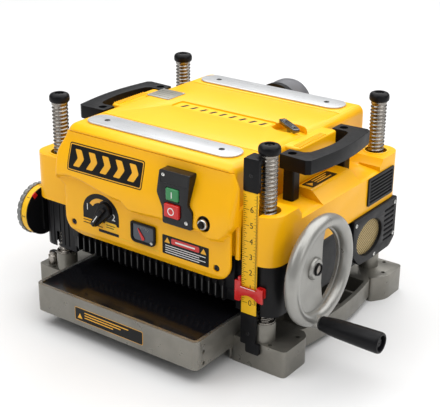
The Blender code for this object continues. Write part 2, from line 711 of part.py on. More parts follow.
def ellipse(shape, inset):
    centre, half = shape
    return [(centre[0] + (half[0] - inset) * math.cos(a), centre[1] + (half[1] - inset) * math.sin(a))
            for a in [math.tau * i / 28 for i in range(28)]]


# ---------------------------------------------------------------- height drive

def build_handwheel():
    axis = (WHEEL_Y, WHEEL_Z)
    x0, x1 = RIM_X
    inner = WHEEL_R - RIM_W
    rim = [(inner, x0 + 5), (inner + 5, x0), (WHEEL_R - 6, x0), (WHEEL_R, x0 + 6), (WHEEL_R, x1 - 8),
           (WHEEL_R - 7, x1), (inner + 5, x1), (inner, x1 - 5)]
    wheel = turned("handwheel", rim, "X", axis, "cast_aluminium", 40)
    disc = turned("wheel_web", [(0, WEB_X[0]), (inner + 4, WEB_X[0] + 4), (inner + 4, WEB_X[1] + 4),
                                (0, WEB_X[1])], "X", axis)
    cut(disc, prism("wheel_opening", wheel_opening(), "X", 250, 290))
    cut(disc, rods("web_bore", [axis], 12.0, "X", 250, 290, 20))
    weld(wheel, disc)
    bore = 8.0 + GAP
    hub_profile = [(bore, 252), (15, 252), (17, 260), (17, 268), (14, 272.5), (bore, 272.5)]
    weld(wheel, turned("wheel_hub", hub_profile, "X", axis))
    crank = (WHEEL_Y + GRIP_OFF[0], WHEEL_Z + GRIP_OFF[1])
    end = GRIP_X[1] - 4
    spindle = [(0, x1 - 8), (9, x1 - 8), (9, x1 + 5), (5, x1 + 5), (5, end), (0, end)]
    weld(wheel, turned("grip_spindle", spindle, "X", crank))
    hub = ((RIM_X[0] + RIM_X[1]) / 2, WHEEL_Y, WHEEL_Z)
    place_origin(wheel, hub)
    shaft = [(0, 224), (8, 224), (8, 273), (6.5, 274.5), (0, 274.5)]
    place_origin(turned("crank_shaft", shaft, "X", axis, "steel"), hub)
    low, high = GRIP_X
    grip = [(5.4, low), (11.5, low), (13, low + 4), (GRIP_R - 1, low + 14), (GRIP_R, low + 40),
            (GRIP_R, high - 4), (GRIP_R - 2, high), (5.4, high)]
    turned("crank_grip", grip, "X", crank, "black_plastic")


def place_origin(obj, origin):
    """Moves an object's origin to a point in machine millimetres and leaves its shape in place."""
    target = [c * MM for c in origin]
    shift = [o - t for o, t in zip(obj.location, target)]
    for vert in obj.data.vertices:
        vert.co = [c + s for c, s in zip(vert.co, shift)]
    obj.location = target


def wheel_opening():
    """The opening in the web: the half of the disc towards the outfeed side, with a straight edge."""
    radius = WHEEL_R - RIM_W - 2
    offset = 22.0
    half = math.acos(offset / radius)
    return circle(radius, (WHEEL_Y, WHEEL_Z), 16, -half, 2 * half)


def build_lift_nuts():
    for name, sx, sy in corners():
        bore = POST_R + 0.35
        profile = [(bore, NUT_LOW), (16.6, NUT_LOW), (16.6, CHAIN_Z[0] - 0.5), (17, CHAIN_Z[0] - 0.5),
                   (17, CHAIN_Z[1] + 0.5), (16.6, CHAIN_Z[1] + 0.5), (16.6, NUT_TOP - 4), (18.6, NUT_TOP - 4),
                   (18.6, NUT_TOP), (bore, NUT_TOP)]
        turned(f"lift_nut_{name}", profile, "Z", (sx * POST_X, sy * POST_Y), "steel", 28)


def build_chain():
    """The chain that links the four nuts, drawn as one closed band."""
    outer_r = CHAIN_R + 1.7
    outer = rounded(-POST_X - outer_r, -POST_Y - outer_r, POST_X + outer_r, POST_Y + outer_r, outer_r, 8)
    inner = rounded(-POST_X - CHAIN_R, -POST_Y - CHAIN_R, POST_X + CHAIN_R, POST_Y + CHAIN_R, CHAIN_R, 8)
    chain = prism("lift_chain", outer, "Z", CHAIN_Z[0], CHAIN_Z[1], "steel")
    cut(chain, prism("chain_inside", inner, "Z", CHAIN_Z[0] - 2, CHAIN_Z[1] + 2))


# ---------------------------------------------------------------- cutting and feeding

def build_cutterhead():
    axis = (0, HEAD_Z)
    half = THROAT_HALF - 0.5
    head = turned("cutterhead", [(0, -200), (8.5, -200), (8.5, -half), (CUT_R - 2, -half), (CUT_R - 2, half),
                                 (8.5, half), (8.5, THROAT_HALF + 12), (0, THROAT_HALF + 12)], "X", axis,
                  "steel")
    bm = bmesh.new()
    for i in range(3):
        points = knife_outline(i, 0.3, 6.0, 1.0)
        add_prism(bm, points, "X", -half - 1, half + 1)
    cut(head, finish_mesh("knife_slots", bm, None, (0, 0, 0)))
    for i in range(3):
        prism(f"knife_{i + 1}", knife_outline(i, 0, 6.0 - GAP, 0), "X", -half + 1, half - 1,
              "bright_aluminium", (0, 0, HEAD_Z))


def knife_outline(index, extra, depth, beyond):
    """One of three knives, a thin strip set radially that reaches the cutting circle."""
    angle = math.radians(90 + 60 + 120 * index)
    ca, sa = math.cos(angle), math.sin(angle)
    half = 1.5 + extra
    top = CUT_R + beyond
    low = CUT_R - 2 - depth
    corners_at = [(low, -half), (top, -half), (top, half), (low, half)]
    return [(r * ca - t * sa, HEAD_Z + r * sa + t * ca) for r, t in corners_at]


def build_feed_rollers():
    half = THROAT_HALF - 1.5
    shaft = THROAT_HALF + 14
    for name, y in (("infeed", -FEED_Y), ("outfeed", FEED_Y)):
        profile = [(0, -shaft), (8.5, -shaft), (8.5, -half), (FEED_R, -half), (FEED_R, half), (8.5, half),
                   (8.5, shaft), (0, shaft)]
        turned(f"{name}_roller", profile, "X", (y, FEED_Z), "rubber")


def build_motor():
    axis = (MOTOR_Y, MOTOR_Z)
    bore = 5.4
    turned("motor", [(bore, -150), (20, -150), (22, -140), (MOTOR_R - 4, -140), (MOTOR_R, -132),
                     (MOTOR_R, 40), (MOTOR_R - 4, 48), (22, 48), (20, 58), (bore, 58)], "X", axis,
           "black_paint", 32)
    low, high = PULLEY_X
    rotor = [(0, low - 2), (MOTOR_PULLEY_R, low), (MOTOR_PULLEY_R, high), (5, high), (5, 84), (0, 84)]
    turned("motor_shaft", rotor, "X", axis, "steel")
    axis = (0, HEAD_Z)
    pulley = [(8.8, low), (HEAD_PULLEY_R, low), (HEAD_PULLEY_R, high), (8.8, high)]
    turned("cutterhead_pulley", pulley, "X", axis, "steel")


def belt_outline(extra):
    """The loop round both pulleys, standing off their rims by extra."""
    dy, dz = MOTOR_Y, MOTOR_Z - HEAD_Z
    span = math.hypot(dy, dz)
    lean = math.atan2(dz, dy)
    big, small = HEAD_PULLEY_R + extra, MOTOR_PULLEY_R + extra
    wrap = math.acos((big - small) / span)
    loop = circle(big, (0, HEAD_Z), 16, lean + wrap, math.tau - 2 * wrap)
    loop += circle(small, (MOTOR_Y, MOTOR_Z), 12, lean - wrap, 2 * wrap)
    return loop


def build_belt():
    low, high = PULLEY_X
    belt = prism("drive_belt", belt_outline(GAP + BELT_T), "X", low + 1, high - 1, "rubber")
    cut(belt, prism("belt_inside", belt_outline(GAP), "X", low - 2, high + 2))


WRENCH_X = 134.0
WRENCH_Y = 3.0


def build_wrench():
    """The knife wrench, kept upright in the top cover with its bar across the bowl."""
    turn = math.radians(-34)
    ca, sa = math.cos(turn), math.sin(turn)
    bar = rounded(-30, -7, 30, 7, 5, 2)
    points = [(WRENCH_X + x * ca - y * sa, WRENCH_Y + x * sa + y * ca) for x, y in bar]
    wrench = prism("knife_wrench", points, "Z", TOP_Z + 0.6, TOP_Z + 6.6, "steel",
                   (WRENCH_X, WRENCH_Y, TOP_Z))
    weld(wrench, turned("wrench_stem", [(0, 262), (4, 262), (4, TOP_Z + 4), (0, TOP_Z + 4)], "Z",
                        (WRENCH_X, WRENCH_Y), None, 12))


def main():
    for obj in list(bpy.data.objects):
        bpy.data.objects.remove(obj, do_unlink=True)
    machine = bpy.data.objects.new("machine", None)
    bpy.context.scene.collection.objects.link(machine)
    machine.location = (-ORIGIN_X * MM, -ORIGIN_Y * MM, 0)
    build_base()
    build_bed_plate()
    build_posts()
    build_depth_stop()
    build_scale()
    build_casting()
    build_front_guard()
    build_rear_guard()
    build_front_cover()
    build_top_cover()
    build_side_covers()
    build_strips()
    build_nameplate()
    build_handles()
    build_chute()
    build_switch()
    build_breaker()
    build_speed_knob()
    build_gauge()
    build_turret()
    build_pointer()
    build_vents()
    build_handwheel()
    build_lift_nuts()
    build_chain()
    build_cutterhead()
    build_feed_rollers()
    build_motor()
    build_belt()
    build_wrench()


main()
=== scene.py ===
"""Looks for the benchtop thickness planer.

Lengths are millimetres in the machine's own frame: X to the right, Y from infeed to outfeed, Z up from the
bench, zero midway between the posts. at() turns them into the frame's metres.
"""
import math

import bmesh
import bpy
from mathutils import Matrix, Vector


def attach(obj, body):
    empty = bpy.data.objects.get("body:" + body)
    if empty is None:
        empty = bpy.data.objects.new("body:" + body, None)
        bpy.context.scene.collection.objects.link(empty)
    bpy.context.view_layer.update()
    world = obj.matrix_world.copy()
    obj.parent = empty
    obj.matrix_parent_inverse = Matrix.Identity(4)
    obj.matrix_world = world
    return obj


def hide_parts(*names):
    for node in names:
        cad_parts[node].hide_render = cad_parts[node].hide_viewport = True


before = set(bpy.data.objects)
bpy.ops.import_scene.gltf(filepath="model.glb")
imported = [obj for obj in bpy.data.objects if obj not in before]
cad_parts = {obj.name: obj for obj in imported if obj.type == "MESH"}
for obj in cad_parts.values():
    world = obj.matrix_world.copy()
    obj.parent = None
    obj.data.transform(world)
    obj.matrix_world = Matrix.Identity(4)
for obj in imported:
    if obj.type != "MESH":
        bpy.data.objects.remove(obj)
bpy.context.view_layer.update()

TAU = math.tau
ORIGIN = (61.0, -10.75)                 # the row frame's origin in the machine's frame
SIDES = (("left", -1), ("right", 1))
POST = (207.5, 165.3)                   # the posts' centres from the middle, across and along
POST_TOP = 362.5
BED = (165.5, -283.1, 219.0)            # half width, front and rear
BED_TOP = 74.0
TOP = (168.0, -197.3, 200.0, 327.0)     # the top cover's half width, front, rear and height
SIDE_OUT = {-1: 248.0, 1: 240.0}        # how far the left and right covers reach
GUARD = 184.3                           # the casting's face behind the guards
BOWL = (134, 3)                         # X and Y of the bowl and the wrench in it
CHUTE = (-20, 282)                      # X and Z
BREAKER = (126.0, 232.0)                # X and Z
FRONT_SCREWS = ((-148, 161), (144, 161))
KNOB = (-76.0, 200.0)                   # X and Z
NEEDLE = (3, 172)                       # X and Z
CRANK = (-124.0, 166.0)                 # Y and Z
GRIP = (CRANK[0] - 15, CRANK[1] - 78)
TURRET = (-172.0, 145.5)                # Y and Z
SCREEN = (92, 134)                      # Y and Z


# ---------------------------------------------------------------- materials

def material(name):
    mat = bpy.data.materials.new(name)
    mat.use_nodes = True
    return mat, mat.node_tree, mat.node_tree.nodes["Principled BSDF"]


def add_node(tree, kind, values, links):
    """A shader node with its constants set and its inputs linked."""
    node = tree.nodes.new(kind)
    for socket, value in values.items():
        node.inputs[socket].default_value = value
    for socket, source in links.items():
        tree.links.new(source, node.inputs[socket])
    return node


def noise(tree, scale, detail=4.0, rough=0.55, stretch=(1, 1, 1)):
    """Noise in the object's own metres."""
    coord = tree.nodes.new("ShaderNodeTexCoord")
    mapping = add_node(tree, "ShaderNodeMapping", {"Scale": stretch}, {"Vector": coord.outputs["Object"]})
    values = {"Scale": scale, "Detail": detail, "Roughness": rough}
    return add_node(tree, "ShaderNodeTexNoise", values, {"Vector": mapping.outputs["Vector"]}).outputs["Fac"]


def remap(tree, value, lo, hi, out_lo, out_hi):
    values = {"From Min": lo, "From Max": hi, "To Min": out_lo, "To Max": out_hi}
    return add_node(tree, "ShaderNodeMapRange", values, {"Value": value}).outputs["Result"]


def blend(tree, factor, one, two):
    mix = tree.nodes.new("ShaderNodeMix")
    mix.data_type = "RGBA"
    for socket, value in ((mix.inputs[6], one), (mix.inputs[7], two)):
        if isinstance(value, tuple):
            socket.default_value = (*value, 1.0)
        else:
            tree.links.new(value, socket)
    tree.links.new(factor, mix.inputs[0])
    return mix.outputs[2]


def bump(tree, shader, height, strength, distance):
    node = add_node(tree, "ShaderNodeBump", {"Strength": strength, "Distance": distance}, {"Height": height})
    tree.links.new(node.outputs["Normal"], shader.inputs["Normal"])


def shade(colour, factor):
    return tuple(min(1.0, c * factor) for c in colour)


def finish(name, colour, rough, metal=0.0, coat=0.0, vary=0.08, spread=0.07, grain=900.0, depth=0.00002,
           strength=0.25, blotch=14.0, dust=None, spec=0.5):
    """A surface with drifting tone, uneven gloss and a fine grain."""
    mat, tree, shader = material(name)
    drift = remap(tree, noise(tree, blotch, 5.0, 0.6), 0.35, 0.65, 0, 1)
    fine = noise(tree, grain, 3.0, 0.6)
    tone = blend(tree, drift, shade(colour, 1 - vary), shade(colour, 1 + vary))
    if dust is not None:
        speck = remap(tree, noise(tree, 260.0, 6.0, 0.75), 0.56, 0.74, 0, dust[1])
        tone = blend(tree, speck, tone, dust[0])
    tree.links.new(tone, shader.inputs["Base Color"])
    patches = noise(tree, blotch * 2.7, 6.0, 0.65)
    gloss = remap(tree, patches, 0.3, 0.7, max(0.02, rough - spread), rough + spread)
    tree.links.new(gloss, shader.inputs["Roughness"])
    shader.inputs["Metallic"].default_value = metal
    shader.inputs["Specular IOR Level"].default_value = spec
    shader.inputs["Coat Weight"].default_value = coat
    shader.inputs["Coat Roughness"].default_value = 0.06
    bump(tree, shader, fine, strength, depth)
    return mat


def brushed(name, colour, rough, stretch, metal=1.0, depth=0.00003):
    """A metal with fine lines along one direction and faint smears."""
    mat, tree, shader = material(name)
    lines = noise(tree, 1.0, 5.0, 0.7, stretch)
    tone = blend(tree, remap(tree, lines, 0.3, 0.7, 0, 1), shade(colour, 0.86), colour)
    smear = remap(tree, noise(tree, 22.0, 5.0, 0.6), 0.4, 0.75, 0, 0.35)
    tree.links.new(blend(tree, smear, tone, shade(colour, 0.7)), shader.inputs["Base Color"])
    tree.links.new(remap(tree, lines, 0.3, 0.7, rough - 0.08, rough + 0.1), shader.inputs["Roughness"])
    shader.inputs["Metallic"].default_value = metal
    bump(tree, shader, lines, 0.3, depth)
    return mat


def woven(name):
    """A wire screen: wires in two directions over holes coloured near-black as painted shade of the dark inside
    behind them.
    """
    mat, tree, shader = material(name)
    coord = tree.nodes.new("ShaderNodeTexCoord")
    top = tree.nodes.new("ShaderNodeMath")
    top.operation = "MAXIMUM"
    for i, turn in enumerate((math.pi / 4, math.pi * 3 / 4)):
        mapping = add_node(tree, "ShaderNodeMapping", {"Rotation": (turn, 0, 0)},
                           {"Vector": coord.outputs["Object"]})
        wave = add_node(tree, "ShaderNodeTexWave", {"Scale": 95.0}, {"Vector": mapping.outputs["Vector"]})
        wave.bands_direction = "Y"
        tree.links.new(wave.outputs["Fac"], top.inputs[i])
    mask = remap(tree, top.outputs[0], 0.45, 0.75, 0, 1)
    # The near-black between the wires is painted shade of the inside seen through the holes.
    tree.links.new(blend(tree, mask, (0.012, 0.01, 0.006), (0.46, 0.34, 0.14)), shader.inputs["Base Color"])
    tree.links.new(remap(tree, mask, 0, 1, 0.8, 0.35), shader.inputs["Roughness"])
    shader.inputs["Metallic"].default_value = 0.6
    bump(tree, shader, top.outputs[0], 0.8, 0.0006)
    return mat


LOOKS = {
    "yellow": finish("yellow enamel", (0.96, 0.47, 0.001), 0.34, coat=0.05, vary=0.03, spread=0.05, grain=420.0,
                     depth=0.00005, strength=0.10, blotch=6.0, spec=0.28),
    "yellow_trim": finish("yellow moulding", (0.92, 0.52, 0.008), 0.4, vary=0.03, grain=700.0, strength=0.15,
                          spec=0.35),
    "cast": finish("cast aluminium", (0.215, 0.205, 0.18), 0.34, metal=0.7, vary=0.12, spread=0.09,
                   grain=520.0, depth=0.00012, strength=0.55, blotch=20.0, dust=((0.15, 0.143, 0.125), 0.3)),
    "wheel": finish("wheel casting", (0.33, 0.325, 0.305), 0.34, metal=0.6, vary=0.08, spread=0.08,
                    grain=480.0, depth=0.0001, strength=0.4, blotch=16.0),
    # Bright brushed metal for the knives, and for the ring round the bed, where its brightness is a painted
    # highlight.
    "rim": brushed("machined metal and painted highlight", (0.80, 0.79, 0.76), 0.30, (30, 900, 900)),
    "strip": brushed("wear strip", (0.66, 0.67, 0.68), 0.33, (25, 1300, 1300), 0.55, 0.00001),
    "plate": brushed("blank plate", (0.34, 0.33, 0.28), 0.36, (900, 60, 900), 0.5, 0.00001),
    "bed": finish("bed plate", (0.004, 0.004, 0.005), 0.14, vary=0.2, spread=0.05, grain=300.0, depth=0.00001,
                  strength=0.12, blotch=10.0, spec=0.24),
    "steel": finish("turned steel", (0.27, 0.25, 0.225), 0.27, metal=1.0, vary=0.25, spread=0.10, grain=700.0,
                    depth=0.00004, strength=0.3, blotch=60.0, dust=((0.07, 0.055, 0.04), 0.7)),
    "dark_steel": finish("oiled steel", (0.17, 0.17, 0.175), 0.24, metal=1.0, vary=0.3, spread=0.1,
                         grain=500.0, depth=0.00005, strength=0.3, blotch=80.0),
    "zinc": finish("zinc screw", (0.62, 0.62, 0.60), 0.3, metal=1.0, vary=0.1),
    "black": finish("black moulding", (0.005, 0.005, 0.006), 0.40, vary=0.2, spread=0.08, grain=1500.0,
                    depth=0.00006, strength=0.45, blotch=18.0, dust=((0.012, 0.012, 0.012), 0.4), spec=0.16),
    "gloss_black": finish("gloss black", (0.006, 0.006, 0.007), 0.2, vary=0.2, spread=0.05, coat=0.06,
                          spec=0.25),
    "paint_black": finish("black enamel", (0.006, 0.006, 0.007), 0.40, vary=0.2, grain=600.0, depth=0.0001,
                          strength=0.4, dust=((0.018, 0.017, 0.016), 0.3), spec=0.18),
    # Dark grey laid on the fins' front edges as a painted highlight.
    "highlight_grey": finish("painted highlight grey", (0.05, 0.05, 0.049), 0.36, vary=0.3, spec=0.4),
    "rubber": finish("rubber", (0.010, 0.010, 0.010), 0.62, vary=0.2, grain=1100.0, depth=0.00008,
                     strength=0.6, dust=((0.03, 0.028, 0.025), 0.3), spec=0.2),
    "grey": finish("grey moulding", (0.115, 0.115, 0.125), 0.38, vary=0.12, grain=1200.0, strength=0.3,
                   spec=0.35),
    "knurl": finish("grey knurling", (0.20, 0.205, 0.20), 0.42, metal=0.3, vary=0.12, strength=0.4),
    "clear_grey": finish("gauge face", (0.045, 0.055, 0.075), 0.2, vary=0.15, coat=0.3, spec=0.35),
    "red": finish("red enamel", (0.60, 0.012, 0.010), 0.3, vary=0.06, coat=0.2, grain=600.0, strength=0.15),
    "red_button": finish("red rocker", (0.62, 0.016, 0.012), 0.32, vary=0.06),
    "green": finish("green rocker", (0.03, 0.24, 0.075), 0.34),
    "white": finish("white print", (0.80, 0.80, 0.78), 0.45, vary=0.03, strength=0.1),
    # Black for print, also used for the sheet behind the vent, where it is painted shade.
    "ink": finish("black print and painted shade", (0.006, 0.006, 0.006), 0.42, vary=0.1, strength=0.1, spec=0.2),
    "amber": finish("amber print", (0.85, 0.42, 0.02), 0.4, vary=0.05, strength=0.1),
    "screen": woven("woven screen"),
}


# ---------------------------------------------------------------- outlines

def oval(a, b, centre=(0, 0), steps=64, start=0.0, turn=TAU):
    """Points round an ellipse, or along a part of one with both of its ends."""
    count = steps if turn == TAU else steps + 1
    angles = [start + turn * i / steps for i in range(count)]
    return [(centre[0] + a * math.cos(t), centre[1] + b * math.sin(t)) for t in angles]


def circle(radius, centre=(0, 0), steps=48, start=0.0, turn=TAU):
    return oval(radius, radius, centre, steps, start, turn)


def rounded(x0, y0, x1, y1, radii, steps=8):
    """A rectangle with round corners, from the lower left round to the upper left."""
    if not isinstance(radii, tuple):
        radii = (radii,) * 4
    spots = [(x0, y0, 1, 1), (x1, y0, -1, 1), (x1, y1, -1, -1), (x0, y1, 1, -1)]
    points = []
    for (x, y, sx, sy), r, start in zip(spots, radii, (math.pi, 1.5 * math.pi, 0, math.pi / 2)):
        if r == 0:
            points.append((x, y))
        else:
            points += circle(r, (x + sx * r, y + sy * r), steps, start, math.pi / 2)
    return points


def soften(points, radius, steps=5):
    """Rounds the corners of a closed outline; a tuple gives each corner its own radius."""
    sizes = radius if isinstance(radius, tuple) else (radius,) * len(points)
    out = []
    for i, size in enumerate(sizes):
        if size == 0:
            out.append(points[i])
            continue
        before, here, after = (Vector(points[k % len(points)]) for k in (i - 1, i, i + 1))
        one, two = before - here, after - here
        reach = min(size, one.length * 0.45, two.length * 0.45)
        start, end = here + one.normalized() * reach, here + two.normalized() * reach
        for k in range(steps + 1):
            t = k / steps
            out.append(tuple(start.lerp(here, t).lerp(here.lerp(end, t), t)))
    return out


def arc_profile(points, radius=1.5, steps=4):
    """A closed lathe profile with its corners off the axis rounded."""
    return soften(points, tuple(radius if r else 0 for r, _ in points), steps)


def facing(sign, points):
    """The outline given for the right side, or its mirror image for the left."""
    return points if sign > 0 else [(-x, y) for x, y in reversed(points)]


def span(sign, near, far):
    """Two distances from the middle as low and high places on the side given."""
    return sorted((sign * near, sign * far))


def swung(points, centre, turn):
    """An outline drawn about zero, turned and moved to its place."""
    ca, sa = math.cos(turn), math.sin(turn)
    return [(centre[0] + u * ca - v * sa, centre[1] + u * sa + v * ca) for u, v in points]


def spoke(centre, turn, near, far, half):
    """A narrow rectangle that points away from the centre."""
    return swung([(near, -half), (far, -half), (far, half), (near, half)], centre, turn)


def smoothstep(a, b, t):
    t = min(1.0, max(0.0, (t - a) / (b - a)))
    return t * t * (3 - 2 * t)


def curve_through(points, count):
    """Points spread evenly along a smoothed polyline."""
    fine = []
    for (x0, y0), (x1, y1) in zip(points, points[1:]):
        fine += [(x0 + (x1 - x0) * k / 20, y0 + (y1 - y0) * k / 20) for k in range(20)]
    fine.append(points[-1])
    for _ in range(14):
        threes = zip(fine, fine[1:], fine[2:])
        middle = [tuple((a[i] + 2 * b[i] + c[i]) / 4 for i in (0, 1)) for a, b, c in threes]
        fine = [fine[0]] + middle + [fine[-1]]
    lengths = [0.0]
    for a, b in zip(fine, fine[1:]):
        lengths.append(lengths[-1] + math.dist(a, b))
    out, k = [], 0
    for i in range(count):
        want = lengths[-1] * i / (count - 1)
        while k < len(fine) - 2 and lengths[k + 1] < want:
            k += 1
        t = (want - lengths[k]) / max(1e-9, lengths[k + 1] - lengths[k])
        out.append(tuple(fine[k][j] + (fine[k + 1][j] - fine[k][j]) * t for j in (0, 1)))
    return out


# ---------------------------------------------------------------- bodies

def at(x, y, z):
    return Vector(((x - ORIGIN[0]) / 1000, (y - ORIGIN[1]) / 1000, z / 1000))


def along(axis, u, v, w):
    return {"X": (w, u, v), "Y": (u, w, v), "Z": (u, v, w)}[axis]


def plain(name):
    """A piece's name with only letters, digits, _ and -."""
    return "".join(c if c.isalnum() or c in "_-" else "_" for c in name)


def linked(name, data):
    obj = bpy.data.objects.new(name, data)
    bpy.context.scene.collection.objects.link(obj)
    return obj


def evaluated(obj):
    """The object's mesh with its modifiers applied."""
    bpy.context.view_layer.update()
    return bpy.data.meshes.new_from_object(obj.evaluated_get(bpy.context.evaluated_depsgraph_get()))


def mesh_from(name, bm, mat):
    mesh = bpy.data.meshes.new(name)
    bm.to_mesh(mesh)
    bm.free()
    if mat:
        mesh.materials.append(LOOKS[mat])
    return mesh


def object_from(name, bm, mat):
    """With no material the object is a tool for a Boolean, and isn't rendered."""
    bmesh.ops.recalc_face_normals(bm, faces=bm.faces)
    obj = linked(plain(name), mesh_from(plain(name), bm, mat))
    if mat is None:
        obj.hide_render = True
        obj.display_type = "WIRE"
    return obj


def prisms(name, outlines, axis, low, high, mat=None):
    """Each outline extruded along the axis, all in one object."""
    bm = bmesh.new()
    step = Vector(along(axis, 0, 0, (high - low) / 1000))
    for outline in outlines:
        face = bm.faces.new([bm.verts.new(at(*along(axis, u, v, low))) for u, v in outline])
        for item in bmesh.ops.extrude_face_region(bm, geom=[face])["geom"]:
            if isinstance(item, bmesh.types.BMVert):
                item.co += step
    return object_from(name, bm, mat)


def prism(name, outline, axis, low, high, mat=None):
    return prisms(name, [outline], axis, low, high, mat)


def block(name, low, high):
    return prism(name, rounded(*low[:2], *high[:2], 0), "Z", low[2], high[2])


def turned(name, profile, axis, centre, mat=None, steps=64):
    """A profile of (radius, place) turned about an axis; closed on itself where it never meets the axis."""
    bm = bmesh.new()
    rings = []
    for radius, place in profile:
        spots = circle(radius, centre, steps) if radius else [centre]
        rings.append([bm.verts.new(at(*along(axis, u, v, place))) for u, v in spots])
    pairs = list(zip(rings, rings[1:]))
    if profile[0][0] != 0:
        pairs.append((rings[-1], rings[0]))
    for one, two in pairs:
        for i in range(steps):
            j = (i + 1) % steps
            around = [one[i % len(one)], one[j % len(one)], two[j % len(two)], two[i % len(two)]]
            face = list(dict.fromkeys(around))
            if len(face) > 2:
                bm.faces.new(face)
    return object_from(name, bm, mat)


def disc(name, centre, axis, radius, low, high, mat=None, ease=0, bore=0, steps=64, turns=4):
    """A round plate, or a ring if it has a bore, with its edges eased."""
    profile = [(bore, low), (radius, low), (radius, high), (bore, high)]
    return turned(name, arc_profile(profile, ease, turns), axis, centre, mat, steps)


def boolean(obj, tool, operation):
    step = obj.modifiers.new(tool.name, "BOOLEAN")
    step.operation = operation
    step.object = tool
    step.solver = "EXACT"


def cut(obj, tool):
    boolean(obj, tool, "DIFFERENCE")


def weld(obj, tool):
    boolean(obj, tool, "UNION")


def edges(obj, width, segments=3, angle=30):
    step = obj.modifiers.new("edges", "BEVEL")
    step.width = width / 1000
    step.segments = segments
    step.limit_method = "ANGLE"
    step.angle_limit = math.radians(angle)


def settled(obj):
    """Bakes a tool's own modifiers, so that a Boolean sees their result."""
    baked = evaluated(obj)
    obj.modifiers.clear()
    obj.data = baked
    return obj


def done(obj, body="carriage", stands_for=(), angle=30):
    """Bakes the modifiers, shades by angle and hands the piece to its body."""
    baked = evaluated(obj)
    for step in list(obj.modifiers):
        tool = getattr(step, "object", None)
        obj.modifiers.remove(step)
        if tool is not None:
            bpy.data.objects.remove(tool, do_unlink=True)
    baked.name = obj.name
    obj.data = baked
    baked.shade_smooth()
    baked.set_sharp_from_angle(angle=math.radians(angle))
    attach(obj, body)
    if stands_for:
        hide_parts(*stands_for)


def screw(name, place, axis, radius, mat="zinc", height=2.0, sign=1, body="carriage"):
    """A pan-head screw with a hexagonal socket, standing along the axis from its place."""
    x, y, z = place
    u, v, w = {"X": (y, z, x), "Y": (x, z, y), "Z": (x, y, z)}[axis]
    crown = ((radius, height * 0.5), (radius * 0.8, height * 0.9), (radius * 0.5, height), (0, height))
    head = [(0, w - sign), (radius, w - sign)] + [(r, w + rise * sign) for r, rise in crown]
    obj = turned(name, head, axis, (u, v), mat, 32)
    low, high = sorted((w + height * 0.25 * sign, w + (height + 2) * sign))
    cut(obj, prism(name + " socket", circle(radius * 0.42, (u, v), 6), axis, low, high))
    done(obj, body, angle=35)


def printed(name, outline, axis, level, mat, thick=0.25, body="carriage"):
    """A thin shape laid on a face, for print or for a sheet of painted shade, standing from the level by its
    thickness, signed outward.
    """
    done(prism(name, outline, axis, *sorted((level, level + thick)), mat), body)


def numeral(text, size, place, axis, mat, body):
    """A small number lying on a face that looks along the axis."""
    curve = bpy.data.curves.new("numeral " + text, "FONT")
    curve.body = text
    curve.size = size / 1000
    curve.align_x = "CENTER"
    curve.align_y = "CENTER"
    curve.extrude = 0.00008
    maker = linked("numeral " + text, curve)
    mesh = evaluated(maker)
    bpy.data.objects.remove(maker, do_unlink=True)
    upright = Matrix.Rotation(math.pi / 2, 4, "X") if axis == "-Y" else Matrix.Identity(4)
    mesh.transform(Matrix.Translation(at(*place)) @ upright)
    mesh.materials.clear()
    mesh.materials.append(LOOKS[mat])
    spot = "_".join(str(round(c * 10)) for c in place)
    obj = linked(plain(f"numeral_{text}_{spot}_0"), mesh)
    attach(obj, body)
    return obj


def corners():
    """Each post's name and centre."""
    for depth, sy in (("front", -1), ("rear", 1)):
        for side, sx in SIDES:
            yield f"{depth}_{side}", (sx * POST[0], sy * POST[1])


def at_posts(radius):
    return [circle(radius, centre) for _, centre in corners()]


# ---------------------------------------------------------------- base and posts

def wall_x(y):
    """The outer side of the base's right flank, which bulges midway along."""
    return 251.5 - 12.5 * (y / 118.0) ** 2


def flank_outline():
    """The right flank from above: a broad foot at each end and a bowed wall between them."""
    inner, outer, front, rear = 157, 259, -185.5, 198.5
    foot = soften([(inner, front), (outer, front), (outer, -123), (wall_x(-104) + 1, -106)], 9)
    heel = soften([(wall_x(112) - 1, 114), (outer, 144), (outer, rear), (inner, rear)], 10)
    foot = [p for p in foot if p[1] < -106.5 and p[0] > inner + 1]
    heel = [p for p in heel if p[1] > 114.5 and p[0] > inner + 1]
    wall = [(wall_x(y), y) for y in range(-104, 113, 6)]
    return [(inner, front)] + foot + wall + heel + [(inner, rear)]


def bed_plan(inset, radius):
    half, front, rear = BED
    return rounded(-half + inset, front + inset, half - inset, rear - inset, radius)


